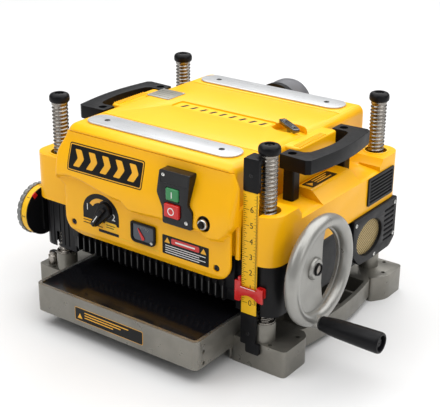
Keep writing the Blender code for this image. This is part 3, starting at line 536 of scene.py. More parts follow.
def build_base():
    half, front, rear = BED
    base = prism("base", bed_plan(0, 10), "Z", 26, BED_TOP, "cast")
    cell_length, cell_pitch, wall = 47.0, 52.0, 7
    for side, sx in SIDES:
        weld(base, prism("flank " + side, facing(sx, flank_outline()), "Z", 0, 45))
        cells = []
        for y0 in (-101.0 + cell_pitch * i for i in range(4)):
            ys = [y0 + cell_length * k / 6 for k in range(7)]
            bowed = [(wall_x(y) - wall, y) for y in ys]
            cell = [(half + wall, y0)] + bowed + [(half + wall, y0 + cell_length)]
            cells.append(facing(sx, soften(cell, 3.0, 3)))
        cut(base, prisms("cells " + side, cells, "Z", 18, 60))
        low, high = span(sx, 150, 265)
        cut(base, block("gap " + side, (low, -112, -1), (high, 118, 12)))
    weld(base, prisms("bosses", at_posts(18.0), "Z", 40, 77))
    cut(base, prisms("sockets", at_posts(14.05), "Z", 11.7, 80))
    bolts = ((227, -178), (247, -131), (227, 190), (245, 152))
    holes = [circle(3.5, (sx * x, y), 24) for x, y in bolts for _, sx in SIDES]
    cut(base, prisms("bolt holes", holes, "Z", -1, 50))
    cut(base, prisms("dimples", [circle(3.2, (-265, z), 24) for z in (52.6, 33.0)], "X", 163.5, 170))
    cut(base, prism("plate recess", bed_plan(6, 5), "Z", 70, 80))
    bays = ((front + 8, -104), (-97, 97), (104, rear - 8))
    cut(base, prisms("underside", [rounded(-154, y0, 154, y1, 4) for y0, y1 in bays], "Z", -1, 61))
    edges(base, 2.2, 4)
    done(base, "base", ["base_casting"])
    # A bright ring of metal round the bed's edge: a painted highlight along the tray's rim.
    rim = prism("bed rim", bed_plan(2.4, 8), "Z", BED_TOP - 0.6, BED_TOP + 0.15, "rim")
    cut(rim, prism("rim inside", bed_plan(6.1, 5), "Z", 70, 78))
    done(rim, "base")
    plate = prism("bed plate", bed_plan(6.4, 4.7), "Z", 70.3, BED_TOP, "bed")
    edges(plate, 0.5, 2)
    done(plate, "base", ["bed_plate"])


def build_bed_sticker():
    front = BED[1]
    printed("bed sticker rim", rounded(-78.8, 35.2, 62.8, 58.8, 2.8), "Y", front - 0.02, "amber", -0.12, "base")
    printed("bed sticker", rounded(-78, 36, 62, 58, 2), "Y", front - 0.05, "ink", -0.2, "base")
    marks = [rounded(-58, z - 0.9, end, z + 0.9, 0.6) for z, end in ((52.5, 34), (48.0, 18), (43.5, 2))]
    names = [f"sticker line {i}" for i in range(3)] + ["sticker mark"]
    for name, outline in zip(names, marks + [[(-73, 40), (-63, 40), (-68, 49)]]):
        printed(name, outline, "Y", front - 0.25, "amber", -0.12, "base")


def build_collars():
    for name, centre in corners():
        done(disc("collar " + name, centre, "Z", 17.2, 76.5, 79.5, "steel", 0.8, 14.2), "base")


def thread_mesh(radius, depth, pitch, low, high):
    """A cylinder wound with a rounded thread, its ends plain."""
    bm = bmesh.new()
    steps, per_turn = 40, 10
    rows = int((high - low) / pitch * per_turn)
    rings = []
    for k in range(rows + 1):
        z = low + (high - low) * k / rows
        fade = min(1.0, (z - low) / pitch, (high - z) / pitch)
        ring = []
        for i in range(steps):
            wave = abs((z / pitch - i / steps) % 1.0 - 0.5) * 2
            r = radius - depth * fade * min(1.0, max(0.0, (wave - 0.18) / 0.5))
            a = TAU * i / steps
            ring.append(bm.verts.new((r * math.cos(a) / 1000, r * math.sin(a) / 1000, z / 1000)))
        rings.append(ring)
    for one, two in zip(rings, rings[1:]):
        for i in range(steps):
            j = (i + 1) % steps
            bm.faces.new([one[i], one[j], two[j], two[i]])
    bm.faces.new(list(reversed(rings[0])))
    bm.faces.new(rings[-1])
    mesh = mesh_from("thread", bm, "steel")
    mesh.shade_smooth()
    mesh.set_sharp_from_angle(angle=math.radians(60))
    return mesh


def build_posts():
    mesh = thread_mesh(13.75, 1.5, 6.35, 12, 347)
    low, top = 347.3, POST_TOP
    cup = top - 5
    profile = [(0, low), (14.6, low), (16.4, low + 1.8), (16.9, low + 4), (16.9, top - 7), (16.2, top - 4),
               (14.4, top - 1.8), (11.2, top - 0.4), (8.5, top), (7.6, top - 0.6), (7.0, cup), (0, cup)]
    for name, centre in corners():
        post = linked("threaded_post_" + name, mesh)
        post.location = at(*centre, 0)
        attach(post, "base")
        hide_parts("post_" + name)
        cap = turned("cap " + name, profile, "Z", centre, "black")
        done(cap, "base", ["post_cap_" + name], angle=40)
        bolt = disc("cap screw " + name, centre, "Z", 5.6, cup, cup + 2.8, "black", 1.5)
        cut(bolt, prism("cap socket " + name, circle(2.8, centre, 6), "Z", cup + 0.8, top))
        done(bolt, "base")


def build_stop_post():
    place = (-238, -168)
    profile = [(0, 45), (9.5, 45), (9.5, 61), (8.5, 62), (7.6, 63), (7.6, 67), (6.8, 68.4), (0, 68.4)]
    done(turned("stop post", arc_profile(profile, 0.7), "Z", place, "steel"), "base",
         ["depth_stop_post"])
    done(disc("stop tip", place, "Z", 6.2, 66, 68.5, "black", 0.8), "base")


# ---------------------------------------------------------------- covers

# The brow's lower edge along the front, as X and Z.
BROW = ((-200, 222), (-184, 224), (-172, 235), (-150, 238), (-42, 222), (-20, 210), (46, 213), (112, 213),
        (134, 204), (152, 206), (166, 217), (178, 232), (200, 240))
# The outline of the switch's hole in the cover, which its plate fills, as X and Z.
SWITCH = ((50, 216), (107, 216), (107, 245), (98, 254), (103, 303), (45, 303), (39, 264), (50, 240))
COVER_LOW, COVER_HIGH = 140.3, 315.7


def brow_low(x):
    for (x0, z0), (x1, z1) in zip(BROW, BROW[1:]):
        if x <= x1:
            return z0 + (z1 - z0) * smoothstep(x0, x1, x)
    return BROW[-1][1]


def front_y(x, z):
    """Where the front cover's face stands: it leans back upward, swells at the brow and tucks in below."""
    lean = 7.0 * smoothstep(215, 317, z)
    foot = brow_low(x)
    swell = smoothstep(foot, foot + 9, z) * (1 - smoothstep(foot + 12, 321, z) ** 1.25)
    return -205.0 + lean - 10.2 * swell + 4.0 * smoothstep(150, 140, z)


def front_reach(z):
    """The left and right ends of the front cover at a height: a lower panel and a wider brow."""
    corner = 30.0
    left = -168.0 - 15.0 * smoothstep(219, 232, z) + 21.0 * smoothstep(272, 318, z)
    right = 168.0 + 10.0 * smoothstep(222, 238, z) - 9.0 * smoothstep(292, 318, z)
    rise = z - COVER_LOW
    if rise < corner:
        tuck = corner - math.sqrt(max(0.0, corner ** 2 - (corner - rise) ** 2))
        left, right = left + tuck, right - tuck
    return left, right


def shell_between(bm, front, back):
    """Closes two grids of vertices, one behind the other, into one body."""
    for grid in (front, back):
        for one, two in zip(grid, grid[1:]):
            for c in range(len(one) - 1):
                bm.faces.new([one[c], one[c + 1], two[c + 1], two[c]])
    last_row, last = len(front) - 1, len(front[0]) - 1
    for r in range(last_row):
        for c in (0, last):
            bm.faces.new([front[r][c], front[r + 1][c], back[r + 1][c], back[r][c]])
    for c in range(last):
        for r in (0, last_row):
            bm.faces.new([front[r][c], front[r][c + 1], back[r][c + 1], back[r][c]])


def front_row(z):
    """One level of the front cover: X and the share of the way back, with a round turn at each end."""
    radius, across, turns = 9.0, 110, 9
    left, right = front_reach(z)
    angles = [math.pi / 2 * i / turns for i in range(turns)]
    spots = [(left + radius * (1 - math.cos(a)), 1 - math.sin(a)) for a in angles]
    wide = right - left - 2 * radius
    middle = [(left + radius + wide * i / across, 0) for i in range(across + 1)]
    return spots + middle + [(left + right - x, t) for x, t in reversed(spots)]


def build_front_cover():
    rows, wall, back, seat = 150, 3.6, -195.5, -203.2
    bm = bmesh.new()
    faces, walls = [], []
    for r in range(rows + 1):
        z = COVER_LOW + (COVER_HIGH - COVER_LOW) * (r / rows)
        wide = smoothstep(216, 230, z)
        face, inner = [], []
        for x, t in front_row(z):
            y = front_y(x, z)
            y += (2.5 + (max(0.0, -196.0 - y) - 2.5) * wide) * t
            face.append(bm.verts.new(at(x, y, z)))
            inner.append(bm.verts.new(at(x, min(y + wall, back), z)))
        faces.append(face)
        walls.append(inner)
    shell_between(bm, faces, walls)
    cover = object_from("front cover", bm, "yellow")
    cut(cover, prism("switch hole", soften(SWITCH, 3), "Y", -240, -190))
    for x, z in FRONT_SCREWS:
        cut(cover, disc(f"pocket {x}", (x, z), "Y", 6.0, -230, seat))
    cut(cover, disc("breaker pocket", BREAKER, "Y", 12.5, -230, -208.4))
    edges(cover, 0.9, 3, 55)
    done(cover, "carriage", ["front_cover"], angle=40)
    done(disc("breaker recess", BREAKER, "Y", 12.4, -209.0, -207.6, "ink", 0.3))
    for x, z in FRONT_SCREWS:
        screw(f"front screw {x}", (x, seat, z), "Y", 4.8, "gloss_black", 1.6, -1)


def build_top_cover():
    half, front, rear, top = TOP
    profile = soften([(-192, 181), (-192, 316.2), (front - 1, 316.2), (front - 1, 320), (-186, top - 0.5),
                      (-178, top + 0.1), (184, top + 0.1), (rear + 1, 318), (rear + 1, 181)], 7, 8)
    cover = prism("top cover", profile, "X", -half - 6, half + 6, "yellow")
    plan = prism("top plan", rounded(-half, front - 6, half, rear, (26, 18, 18, 26), 12), "Z", 150, top)
    edges(plan, 16.5, 10, 60)
    boolean(cover, settled(plan), "INTERSECT")
    for side, sx in SIDES:
        low, high = span(sx, 150, 191.6)
        shelf = prism("platform " + side, rounded(low, -57.8, high, 57.8, 7, 6), "Z", 260.4, 321, "yellow")
        edges(shelf, 3.5, 5, 40)
        weld(cover, shelf)
    weld(cover, prism("nameplate seat", rounded(-164.5, 0.5, -110.5, 53.5, 4.5), "Z", 312, top - 0.05))
    cut(cover, prism("inside", rounded(-150, -180, 150, 182, 4), "Z", 170, 316.5))
    band = soften([(-92, -18), (104, -18), (104, 15), (-92, 15)], 6)
    cut(cover, prism("band", band, "Z", top - 2.4, top + 4))
    cut(cover, prism("bowl", oval(31, 22.5, BOWL), "Z", top - 11, top + 4))
    for y in (-120, 120):
        groove = rounded(-half - 2, y - 1, half + 2, y + 1, 0.6, 2)
        cut(cover, prism(f"groove {y}", groove, "Z", top - 1.4, top + 4))
    edges(cover, 0.8, 3, 50)
    done(cover, "carriage", ["top_cover"], angle=35)
    printed("bowl floor", oval(30.6, 22.1, BOWL), "Z", top - 11.4, "yellow_trim", 0.8)
    inset = soften([(-88, -14.5), (100, -14.5), (100, 11.5), (-88, 11.5)], 4)
    printed("band face", inset, "Z", top - 2.5, "yellow_trim", 0.5)
    for i, x in enumerate(range(-78, 83, 20)):
        slash = [(x, -9), (x + 6, -9), (x + 10, 5), (x + 4, 5)]
        printed(f"band slash {i}", slash, "Z", top - 2.05, "ink", 0.2)
    for side, sx in SIDES:
        low, high = span(sx, 177, 190)
        ribs = [rounded(low, y, high, y + 2.4, 1.0, 3) for y in (-52 + 5.4 * i for i in range(15))]
        comb = prisms("shelf ribs " + side, ribs, "Z", 320.2, 322.4, "yellow")
        edges(comb, 0.8, 3, 40)
        done(comb)


def build_strips():
    level = TOP[3] + 0.3
    for name, sy in (("front", -1), ("rear", 1)):
        y = sy * 153.0
        outline = rounded(-148, y - 23.5, 148, y + 23.5, 21.5, 14)
        strip = prism("strip " + name, outline, "Z", level, level + 3, "strip")
        edges(strip, 1.1, 4)
        done(strip, "carriage", ["top_strip_" + name])
        for x in (-114, 114):
            screw(f"strip screw {name} {x}", (x, y, level + 2.9), "Z", 4.8, "gloss_black", 0.8)


def build_side_cover(side, sx):
    out, above, top = SIDE_OUT[sx], 275, 260
    plan = rounded(168.6, -195, out, 198, (5, 28, 28, 5), 12)
    body = prism("side cover " + side, facing(sx, plan), "Z", 180.3, top, "yellow")
    dip = soften([(58.0, above), (59.0, 245.3), (119, 245.3), (131, 258), (140, above)], (0.1, 5, 9, 9, 0.1), 6)
    slope = soften([(199, above), (199, 247), (205, 245.2), (out - 5, 241.5), (out + 2, 238.5),
                    (out + 2, above)], 5)
    for sy in (-1, 1):
        cut(body, prism(f"dip {side} {sy}", facing(sy, dip), "X", *span(sx, 160, 260)))
        cut(body, prism(f"shoulder {side} {sy}", facing(sx, slope), "Y", *span(sy, 59.0, 122)))
    crown = soften([(208, above), (208, 259.8), (217, 259.8), (out - 4, 243), (out + 2, 238.5),
                    (out + 2, above)], (0.1, 0.1, 9, 9, 1, 0.1), 6)
    cut(body, prism("crown " + side, facing(sx, crown), "Y", -59.4, 59.4))
    hollow = rounded(173, -190.6, out - 4.4, 193.6, (1, 24, 24, 1), 12)
    cut(body, prism("hollow " + side, facing(sx, hollow), "Z", 170, 233))
    wells = [(sx * POST[0], sy * POST[1]) for sy in (-1, 1)]
    cut(body, prisms("wells " + side, [circle(20.0, well) for well in wells], "Z", 225, above))
    low, high = span(sx, 160, 175)
    cut(body, block("inner gap " + side, (low, -188.5, 170), (high, 192, 201)))
    if side == "right":
        cut(body, block("rule slot", (178, -200, 170), (211, -166, above)))
        cut(body, disc("crank hole", CRANK, "X", 19, 200, 260))
        wells = wells[1:]
    edges(body, 2.8, 5)
    done(body, "carriage", ["side_cover_" + side], angle=35)
    for well in wells:
        sy = 1 if well[1] > 0 else -1
        done(disc(f"well lip {side} {sy}", well, "Z", 22.2, top - 1, top + 1.2, "yellow_trim", 1, 18.4))


def build_side_covers():
    for side, sx in SIDES:
        build_side_cover(side, sx)
    level = 260.0
    plate = soften([(193.5, -50), (214, -50), (214, 26), (193.5, 26)], 2, 3)
    printed("shoulder label", plate, "Z", level, "ink", 0.35)
    mark = soften([(197, -44), (210, -44), (203.5, -33)], 1.2, 3)
    printed("shoulder mark", mark, "Z", level + 0.3, "amber")
    for i, length in enumerate((42, 34, 42)):
        x = 197 + 5 * i
        line = rounded(x, -27, x + 2.2, length - 27, 0.4, 2)
        printed(f"shoulder line {i}", line, "Z", level + 0.3, "amber")


def handle_outline():
    """The right carrying bar from above, with its outer and inner sides bulging outward."""
    rise = [i / 24 for i in range(25)]
    bulge = [math.cos(math.pi * (t - 0.5)) for t in rise]
    outer = [(233 + 9 * b, -90 + 180 * t) for b, t in zip(bulge, rise)]
    inner = [(211 + 8 * b, 58 - 116 * t) for b, t in zip(bulge, rise)]
    return ([(178, -92), (226, -95)] + outer + [(226, 95), (178, 92), (178, 64), (204, 64)] + inner +
            [(204, -64), (178, -64)])


def build_handles():
    for side, sx in SIDES:
        bar = prism("handle " + side, facing(sx, handle_outline()), "Z", 297, 320, "black")
        low, high = span(sx, 182.2, 201.8)
        feet = [(sx * 192, sy * 78) for sy in (-1, 1)]
        legs = [rounded(low, y - 10.5, high, y + 10.5, 4) for _, y in feet]
        weld(bar, prisms("legs " + side, legs, "Z", 245.4, 305))
        cut(bar, prisms("holes " + side, [circle(7.0, foot, 32) for foot in feet], "Z", 311, 330))
        edges(bar, 3.0, 5, 38)
        done(bar, "carriage", ["carry_handle_" + side], angle=40)
        for (x, y), sy in zip(feet, (-1, 1)):
            screw(f"handle screw {side} {sy}", (x, y, 311.5), "Z", 6.0, "gloss_black", 2.5)


def build_chute():
    belly = [(39, 261.4), (43.5, 255), (46, 246), (46, 233), (43.5, 224), (41.8, 218), (41.6, 213.4)]
    drum = [(35, 262), (37, 262)] + curve_through(belly, 22) + [(41.6, 206.5), (35, 206.5)]
    chute = turned("dust chute", drum, "Y", CHUTE, "grey", 80)
    edges(chute, 0.7, 3, 45)
    done(chute, "carriage", ["dust_chute"], angle=35)
    # The collar is coloured black to stand for the shaded gap in front of the grey drum: painted shade.
    collar = arc_profile([(0, 200.3), (46, 200.3), (46, 211.6), (36, 212.2), (35.4, 206.6), (0, 206.6)], 1.0, 3)
    done(turned("chute collar", collar, "Y", CHUTE, "black", 80))
    for i in range(3):
        y = 235 + 4 * i
        done(disc(f"chute rib {i}", CHUTE, "Y", 46.0, y, y + 2, "grey", 0.2, 45.4, 80))
    for i in range(4):
        x, z = circle(40.2, CHUTE, 4, math.radians(45))[i]
        screw(f"chute screw {i}", (x, 212.0, z), "Y", 2.2, "zinc", 0.6)


# ---------------------------------------------------------------- black parts of the carriage

def build_casting():
    half, left, y = 236.0, 244.0, GUARD - 0.3
    low, high = 92, 180
    body = prism("carriage casting", rounded(-left, -y, half, y, 24, 10), "Z", low, high, "paint_black")
    cut(body, block("throat", (-166, -200, 80), (166, 200, 165)))
    cells = [rounded(174, -138, half - 6, 138, 6), rounded(6 - left, -138, -174, 138, 6)]
    cut(body, prisms("cells", cells, "Z", low + 5, high + 10))
    cut(body, block("top cell", (-166, -178, 172), (166, 178, high + 10)))
    cut(body, prisms("guides", at_posts(14.3), "Z", 80, high + 10))
    cut(body, prisms("boss bores", at_posts(19.0), "Z", 80, 120))
    axles = ((0, 126.4), (-78, 114.6), (78, 114.6))
    cut(body, prisms("journals", [circle(9.0, axle, 32) for axle in axles], "X", -175, 175))
    cut(body, prism("crank notch", circle(10, CRANK, 32), "X", 180, 250))
    grooves = [rounded(x, -y - 4, x + 3.0, -y + 1.4, 0.6, 2) for x in (-226, -217, -203, -193, -183)]
    cut(body, prisms("front grooves", grooves, "Z", 98, 172))
    edges(body, 1.8, 3)
    done(body, "carriage", ["carriage_casting"])
    boss = arc_profile([(9, half + 0.3), (22, half + 0.3), (19, 243), (14, 247), (9, 247)], 1.5)
    done(turned("crank boss", boss, "X", CRANK, "paint_black"))


def build_guards():
    back = -GUARD
    face = back - 6
    plate = prism("guard plate", rounded(-167, 124, 167, 180, 2), "Y", face, back, "black")
    edges(plate, 1.0, 2)
    comb = prism("fins", rounded(-167, 104.5, 167, 126, 1.5, 3), "Y", back - 2.2, back, "black")
    fin = [(back - 1, 138), (back - 1, 104.2), (face - 3.4, 104.2), (face - 6, 108.5), (face - 6, 131),
           (face - 3, 138)]
    fins = [13.0 * (i - 11.5) for i in range(24)]
    for i, x in enumerate(fins):
        weld(comb, prism(f"fin {i}", fin, "X", x - 1.5, x + 1.5))
    edges(comb, 0.5, 2, 40)
    done(comb, "carriage", ["front_guard"], angle=35)
    done(plate)
    # Thin dark grey strips on the fins' front edges: a painted highlight that lightens the black fins.
    tips = [rounded(x - 0.9, 109.5, x + 0.9, 130.5, 0.8, 2) for x in fins]
    done(prisms("fin tips", tips, "Y", face - 6.2, face - 5.6, "highlight_grey"))
    rear = prism("rear guard", rounded(-167, 108, 167, 180, 3), "Y", GUARD, GUARD + 5, "black")
    for x in range(-150, 151, 60):
        weld(rear, block(f"rib {x}", (x - 2, 188, 112), (x + 2, GUARD + 9, 176)))
    edges(rear, 1.0, 2)
    done(rear, "carriage", ["rear_guard"])


def build_vent():
    x = SIDE_OUT[1] + 0.3
    grille = prism("vent frame", rounded(82, 190, 170, 239.5, 4), "X", x, x + 2.3, "black")
    slots = [rounded(88, 195.5 + 6 * i, 164, 198.7 + 6 * i, 1.4, 4) for i in range(7)]
    cut(grille, prisms("slots", slots, "X", x - 2, x + 6))
    edges(grille, 0.7, 3)
    done(grille, "carriage", ["vent_grille"])
    # A black sheet behind the slots: painted shade of the vent's dark inside.
    printed("vent dark", rounded(85, 193, 167, 237, 2), "X", x - 0.2, "ink", 0.4)


def build_gear_cover():
    outer = 244.6
    outline = soften([(36, 118), (60, 93), (100, 90), (168, 90), (186, 104), (186, 180), (36, 180)], 6)
    cover = prism("gear cover", outline, "X", 236.3, outer, "black")
    cut(cover, prism("screen hole", oval(42.5, 31, SCREEN), "X", 239.5, 260))
    louvres = [rounded(143, 108 + 9 * i, 176, 111.5 + 9 * i, 1.5, 4) for i in range(7)]
    cut(cover, prisms("louvres", louvres, "X", 242.2, 260))
    edges(cover, 1.6, 4)
    done(cover, "carriage", ["gear_cover"])
    screen = turned("screen", [(0, 241.2), (35, 240.2), (43, 239.4), (43, 239.0), (0, 239.0)], "X", SCREEN,
                    "screen")
    home = at(0, *SCREEN)
    screen.data.transform(Matrix.Translation(home) @ Matrix.Diagonal((1, 1, 31.4 / 43.0, 1)) @
                          Matrix.Translation(-home))
    done(screen, "carriage", ["filter_screen"], angle=60)
    for y, z in ((44, 170), (178, 170), (178, 112), (112, 96)):
        screw(f"gear screw {y} {z}", (outer, y, z), "X", 3.6, "zinc", 1.4)


# ---------------------------------------------------------------- controls

def build_switch():
    face = -217
    plan = soften([(x * 0.994 + 0.45, z * 0.994 + 1.55) for x, z in SWITCH], 4)
    plate = prism("switch plate", plan, "Y", face, -199, "gloss_black")
    rockers = (("start", "green", "green", (58, 256), (82, 276), -219.6),
               ("stop", "red_button", "red", (56, 229), (84, 251), -221.6))
    for name, _, _, (x0, z0), (x1, z1), _ in rockers:
        pocket = rounded(x0 - 0.8, z0 - 0.8, x1 + 0.8, z1 + 0.8, 2)
        cut(plate, prism(f"pocket {name}", pocket, "Y", -230, -205))
    cut(plate, prism("plate groove", rounded(47, 282, 98, 297, 3), "Y", -230, face + 0.8))
    edges(plate, 1.6, 5)
    done(plate, "carriage", ["switch_plate"], angle=35)
    for name, mat, slot, low, high, front in rockers:
        rocker = prism(name + " rocker", rounded(*low, *high, 2.5), "Y", front, -209.5, mat)
        edges(rocker, 2.2, 5)
        done(rocker, name + " button", [name + "_button"], angle=40)
        x, z = (low[0] + high[0]) / 2, (low[1] + high[1]) / 2
        if name == "stop":
            done(disc("stop ring", (x, z), "Y", 6.2, front - 0.25, front + 0.4, "white", 0.1, 4.6, turns=2),
                 "stop button")
        else:
            bar = rounded(x - 0.8, z - 5, x + 0.8, z + 5, 0.5, 3)
            printed("start bar", bar, "Y", front + 0.05, "white", -0.25, "start button")
    screw("plate screw 52", (52, face + 0.7, 295), "Y", 3.2, "zinc", 1.0, -1)
    screw("plate screw 96", (96, face, 226), "Y", 3.2, "zinc", 1.0, -1)
    bezel = arc_profile([(5.1, -218.6), (6.9, -219.6), (8.3, -218.0), (8.3, -213.6), (5.1, -213.6)], 0.8)
    done(turned("breaker bezel", bezel, "Y", BREAKER, "zinc"), "carriage",
         ["breaker_bezel"])
    done(disc("breaker button", BREAKER, "Y", 4.9, -223, -216.5, "black", 1.1), "overload button",
         ["breaker_button"])


def on_front(name, outline, mat, proud=0.25):
    """A label that follows the front cover: its outline is cut into a grid and pressed onto the face."""
    bm = bmesh.new()
    bm.faces.new([bm.verts.new((x, 0, z)) for x, z in outline])
    for axis, normal in ((0, (1, 0, 0)), (1, (0, 0, 1))):
        low, high = (find(p[axis] for p in outline) for find in (min, max))
        steps = max(2, int((high - low) / 4))
        for i in range(1, steps):
            spot = Vector(normal) * (low + (high - low) * i / steps)
            bmesh.ops.bisect_plane(bm, geom=bm.verts[:] + bm.edges[:] + bm.faces[:], plane_co=spot,
                                   plane_no=normal)
    for v in bm.verts:
        x, z = v.co.x, v.co.z
        v.co = at(x, front_y(x, z) - proud, z)
    for face in bm.faces:
        face.normal_update()
        if face.normal.y > 0:
            face.normal_flip()
    obj = linked(plain(name), mesh_from(plain(name), bm, mat))
    film = obj.modifiers.new("film", "SOLIDIFY")
    film.thickness = 0.0002
    film.offset = -1
    done(obj, angle=40)


def build_badge():
    for name, inset, radius, mat, proud in (("border", 0, 4, "ink", 0.25), ("line", 1.6, 3, "amber", 0.4),
                                            ("field", 3.2, 2.4, "ink", 0.55)):
        outline = rounded(-151 + inset, 255 + inset, 4 - inset, 300 - inset, radius, 5)
        on_front("badge " + name, outline, mat, proud)
    for i, x in enumerate(range(-138, -25, 28)):
        bar = [(x, 264), (x + 13, 264), (x + 21, 277.5), (x + 13, 291), (x, 291), (x + 8, 277.5)]
        on_front(f"badge chevron {i}", soften(bar, 2, 3), "amber", 0.7)


def build_speed_plate():
    arch = [(-126, 176), (-49, 176)] + oval(38.5, 33, (-87.5, 191), 28, 0, math.pi)
    on_front("speed plate", arch, "ink")
    start, turn = math.radians(40), math.radians(108)
    bend = oval(27, 26, (-88, 190), 27, start, turn) + circle(19, (-88, 190), 27, start + turn, -turn)
    on_front("speed arc", bend, "amber", 0.5)
    on_front("speed window", rounded(-79, 165.5, -54, 179.5, 3, 4), "yellow_trim", 0.45)
    lines = ((172.5, -126, -97), (167.5, -126, -84), (174.5, -76, -57), (170.5, -76, -60))
    for i, (z, start, end) in enumerate(lines):
        on_front(f"speed line {i}", rounded(start, z - 0.6, end, z + 0.6, 0.3, 2), "ink", 0.6)
    on_front("speed foot", rounded(-93, 158.5, -50, 163.5, 1, 3), "ink")
    numeral("1", 16, (-116, -205.7, 196), "-Y", "white", "carriage")
    numeral("2", 16, (-60, -205.7, 190), "-Y", "white", "carriage")


def build_warning():
    on_front("warning field", rounded(40, 158, 130, 190, 2, 4), "ink")
    on_front("warning head", rounded(58, 177.5, 112, 187, 2, 3), "red", 0.5)
    on_front("warning dash", rounded(66, 181, 104, 183.4, 0.8, 2), "white", 0.75)
    for x in (50, 120):
        mark = soften([(x - 5.5, 177.6), (x + 5.5, 177.6), (x, 187)], 1.2, 3)
        on_front(f"warning mark {x}", mark, "amber", 0.5)
    for i in range(4):
        z = 173 - 3.8 * i
        on_front(f"warning line {i}", rounded(46, z - 0.6, 124 - (i % 2) * 12, z + 0.6, 0.4, 2), "white", 0.5)
    on_front("front groove", rounded(-47, 156.5, 33, 159, 1, 3), "yellow_trim", 0.4)


def build_speed_knob():
    tip, tail = math.radians(-127), math.radians(105)
    end = circle(31.5, KNOB, 1, tip)[0]
    outline = circle(13.8, KNOB, 32, tip + tail, TAU - 2 * tail)
    outline += circle(6.4, end, 14, tip - math.pi / 2, math.pi)
    knob = prism("speed knob", outline, "Y", -214.5, -205.9, "black")
    edges(knob, 2.2, 5)
    # The raised rail is drawn as Y and the way along it, then swung down to the knob's tip.
    spine = [(-214, -8), (-221.9, -5), (-221.9, 4), (-220.5, 27), (-219.0, 34.5), (-213, 37.0)]
    rail = prism("knob rail", spine, "X", -4.2, 4.2)
    swing = Matrix.Rotation(math.pi / 2 - tip, 4, "Y")
    to_middle = Matrix.Translation((ORIGIN[0] / 1000, 0, 0))
    rail.data.transform(Matrix.Translation(at(KNOB[0], ORIGIN[1], KNOB[1])) @ swing @ to_middle)
    edges(rail, 1.6, 4, 35)
    weld(knob, rail)
    done(knob, "speed selector", ["speed_knob"], angle=35)
    printed("knob mark", spoke(KNOB, tip, 8, 24, 0.7), "Y", -221.75, "white", -0.12, "speed selector")
    skirt = arc_profile([(0, -206.4), (15.5, -206.4), (16.5, -204.9), (0, -204.9)], 0.4)
    done(turned("knob skirt", skirt, "Y", KNOB, "gloss_black"))


def build_gauge():
    outline = rounded(-22, 163, 28, 198, (9, 9, 4, 4), 8)
    housing = prism("gauge housing", outline, "Y", -209.5, -205.7, "black")
    cut(housing, prism("gauge pocket", rounded(-18.5, 166.5, 24.5, 194.5, (6, 6, 2.5, 2.5)), "Y", -214, -207.2))
    edges(housing, 0.8, 4)
    done(housing, "carriage", ["gauge_housing"], angle=35)
    printed("gauge face", rounded(-18, 167, 24, 194, (6, 6, 2, 2)), "Y", -207.15, "clear_grey", -0.15)
    first = math.radians(122)
    for i in range(9):
        tick = spoke(NEEDLE, first - math.radians(8 * i), 17.5 if i % 2 else 15.5, 20.5, 0.35)
        printed(f"gauge tick {i}", tick, "Y", -207.25, "knurl", -0.12)
    needle = circle(3.0, NEEDLE, 12, first + math.pi / 2, math.pi) + spoke(NEEDLE, first, 0, 19, 0.5)[1:3]
    pointer = prism("gauge needle", needle, "Y", -208.9, -207.7, "red")
    edges(pointer, 0.3, 2)
    done(pointer, "removal needle", ["gauge_needle"])
    screw("gauge screw", (21, -209.4, 169), "Y", 2.6, "zinc", 0.8, -1)


def build_turret():
    housing = disc("turret housing", TURRET, "X", 44, -250.2, -248.4, "black", 0.5, steps=72, turns=3)
    weld(housing, prism("turret arm", rounded(-180, 112, -140, 178, 3), "X", -249, -244.3))
    edges(housing, 0.4, 2, 40)
    done(housing, "carriage", ["turret_housing"])
    drum = [(0, -270.8), (30, -270.8), (31, -272), (37, -272), (41, -270), (41.6, -263.4), (43.6, -262.4),
            (43.6, -250.8), (41, -250.6), (0, -250.6)]
    dial = turned("turret dial", arc_profile(drum, 1.0), "X", TURRET, "yellow_trim", 72)
    done(dial, "depth turret", ["turret_dial"], angle=35)
    y, z = TURRET
    lobes, per_lobe = 22, 10
    rim = []
    for i in range(lobes * per_lobe):
        a = TAU * i / (lobes * per_lobe)
        r = 45.8 - 2.0 * max(0.0, math.cos(lobes * a)) ** 3
        rim.append((y + r * math.cos(a), z + r * math.sin(a)))
    grip = prism("turret rim", rim, "X", -271.4, -263.6, "knurl")
    cut(grip, prism("rim bore", circle(36, TURRET, 72), "X", -300, -240))
    edges(grip, 1.0, 3, 35)
    done(grip, "depth turret")
    face = arc_profile([(0, -271.9), (28, -271.9), (29, -270.4), (0, -270.4)], 0.6)
    done(turned("turret face", face, "X", TURRET, "gloss_black"), "depth turret")
    # The digits are made on the axis, then lifted just proud of the dial and turned round it.
    count, middle, proud = 8, -257, 43.65
    home = at(middle, y, z)
    lift = Matrix.Translation((0, 0, proud / 1000)) @ Matrix.Rotation(-math.pi / 2, 4, "Z")
    for i in range(count):
        digit = numeral(str(i), 9, (middle, y, z), "Z", "ink", "depth turret")
        turn = Matrix.Rotation(TAU * i / count, 4, "X")
        digit.data.transform(Matrix.Translation(home) @ turn @ lift @ Matrix.Translation(-home))
    index = spoke(TURRET, math.radians(124), 36, 45, 4.5)
    done(prism("turret index", index, "X", -250.1, -248.0, "red"))


# ---------------------------------------------------------------- the height scale

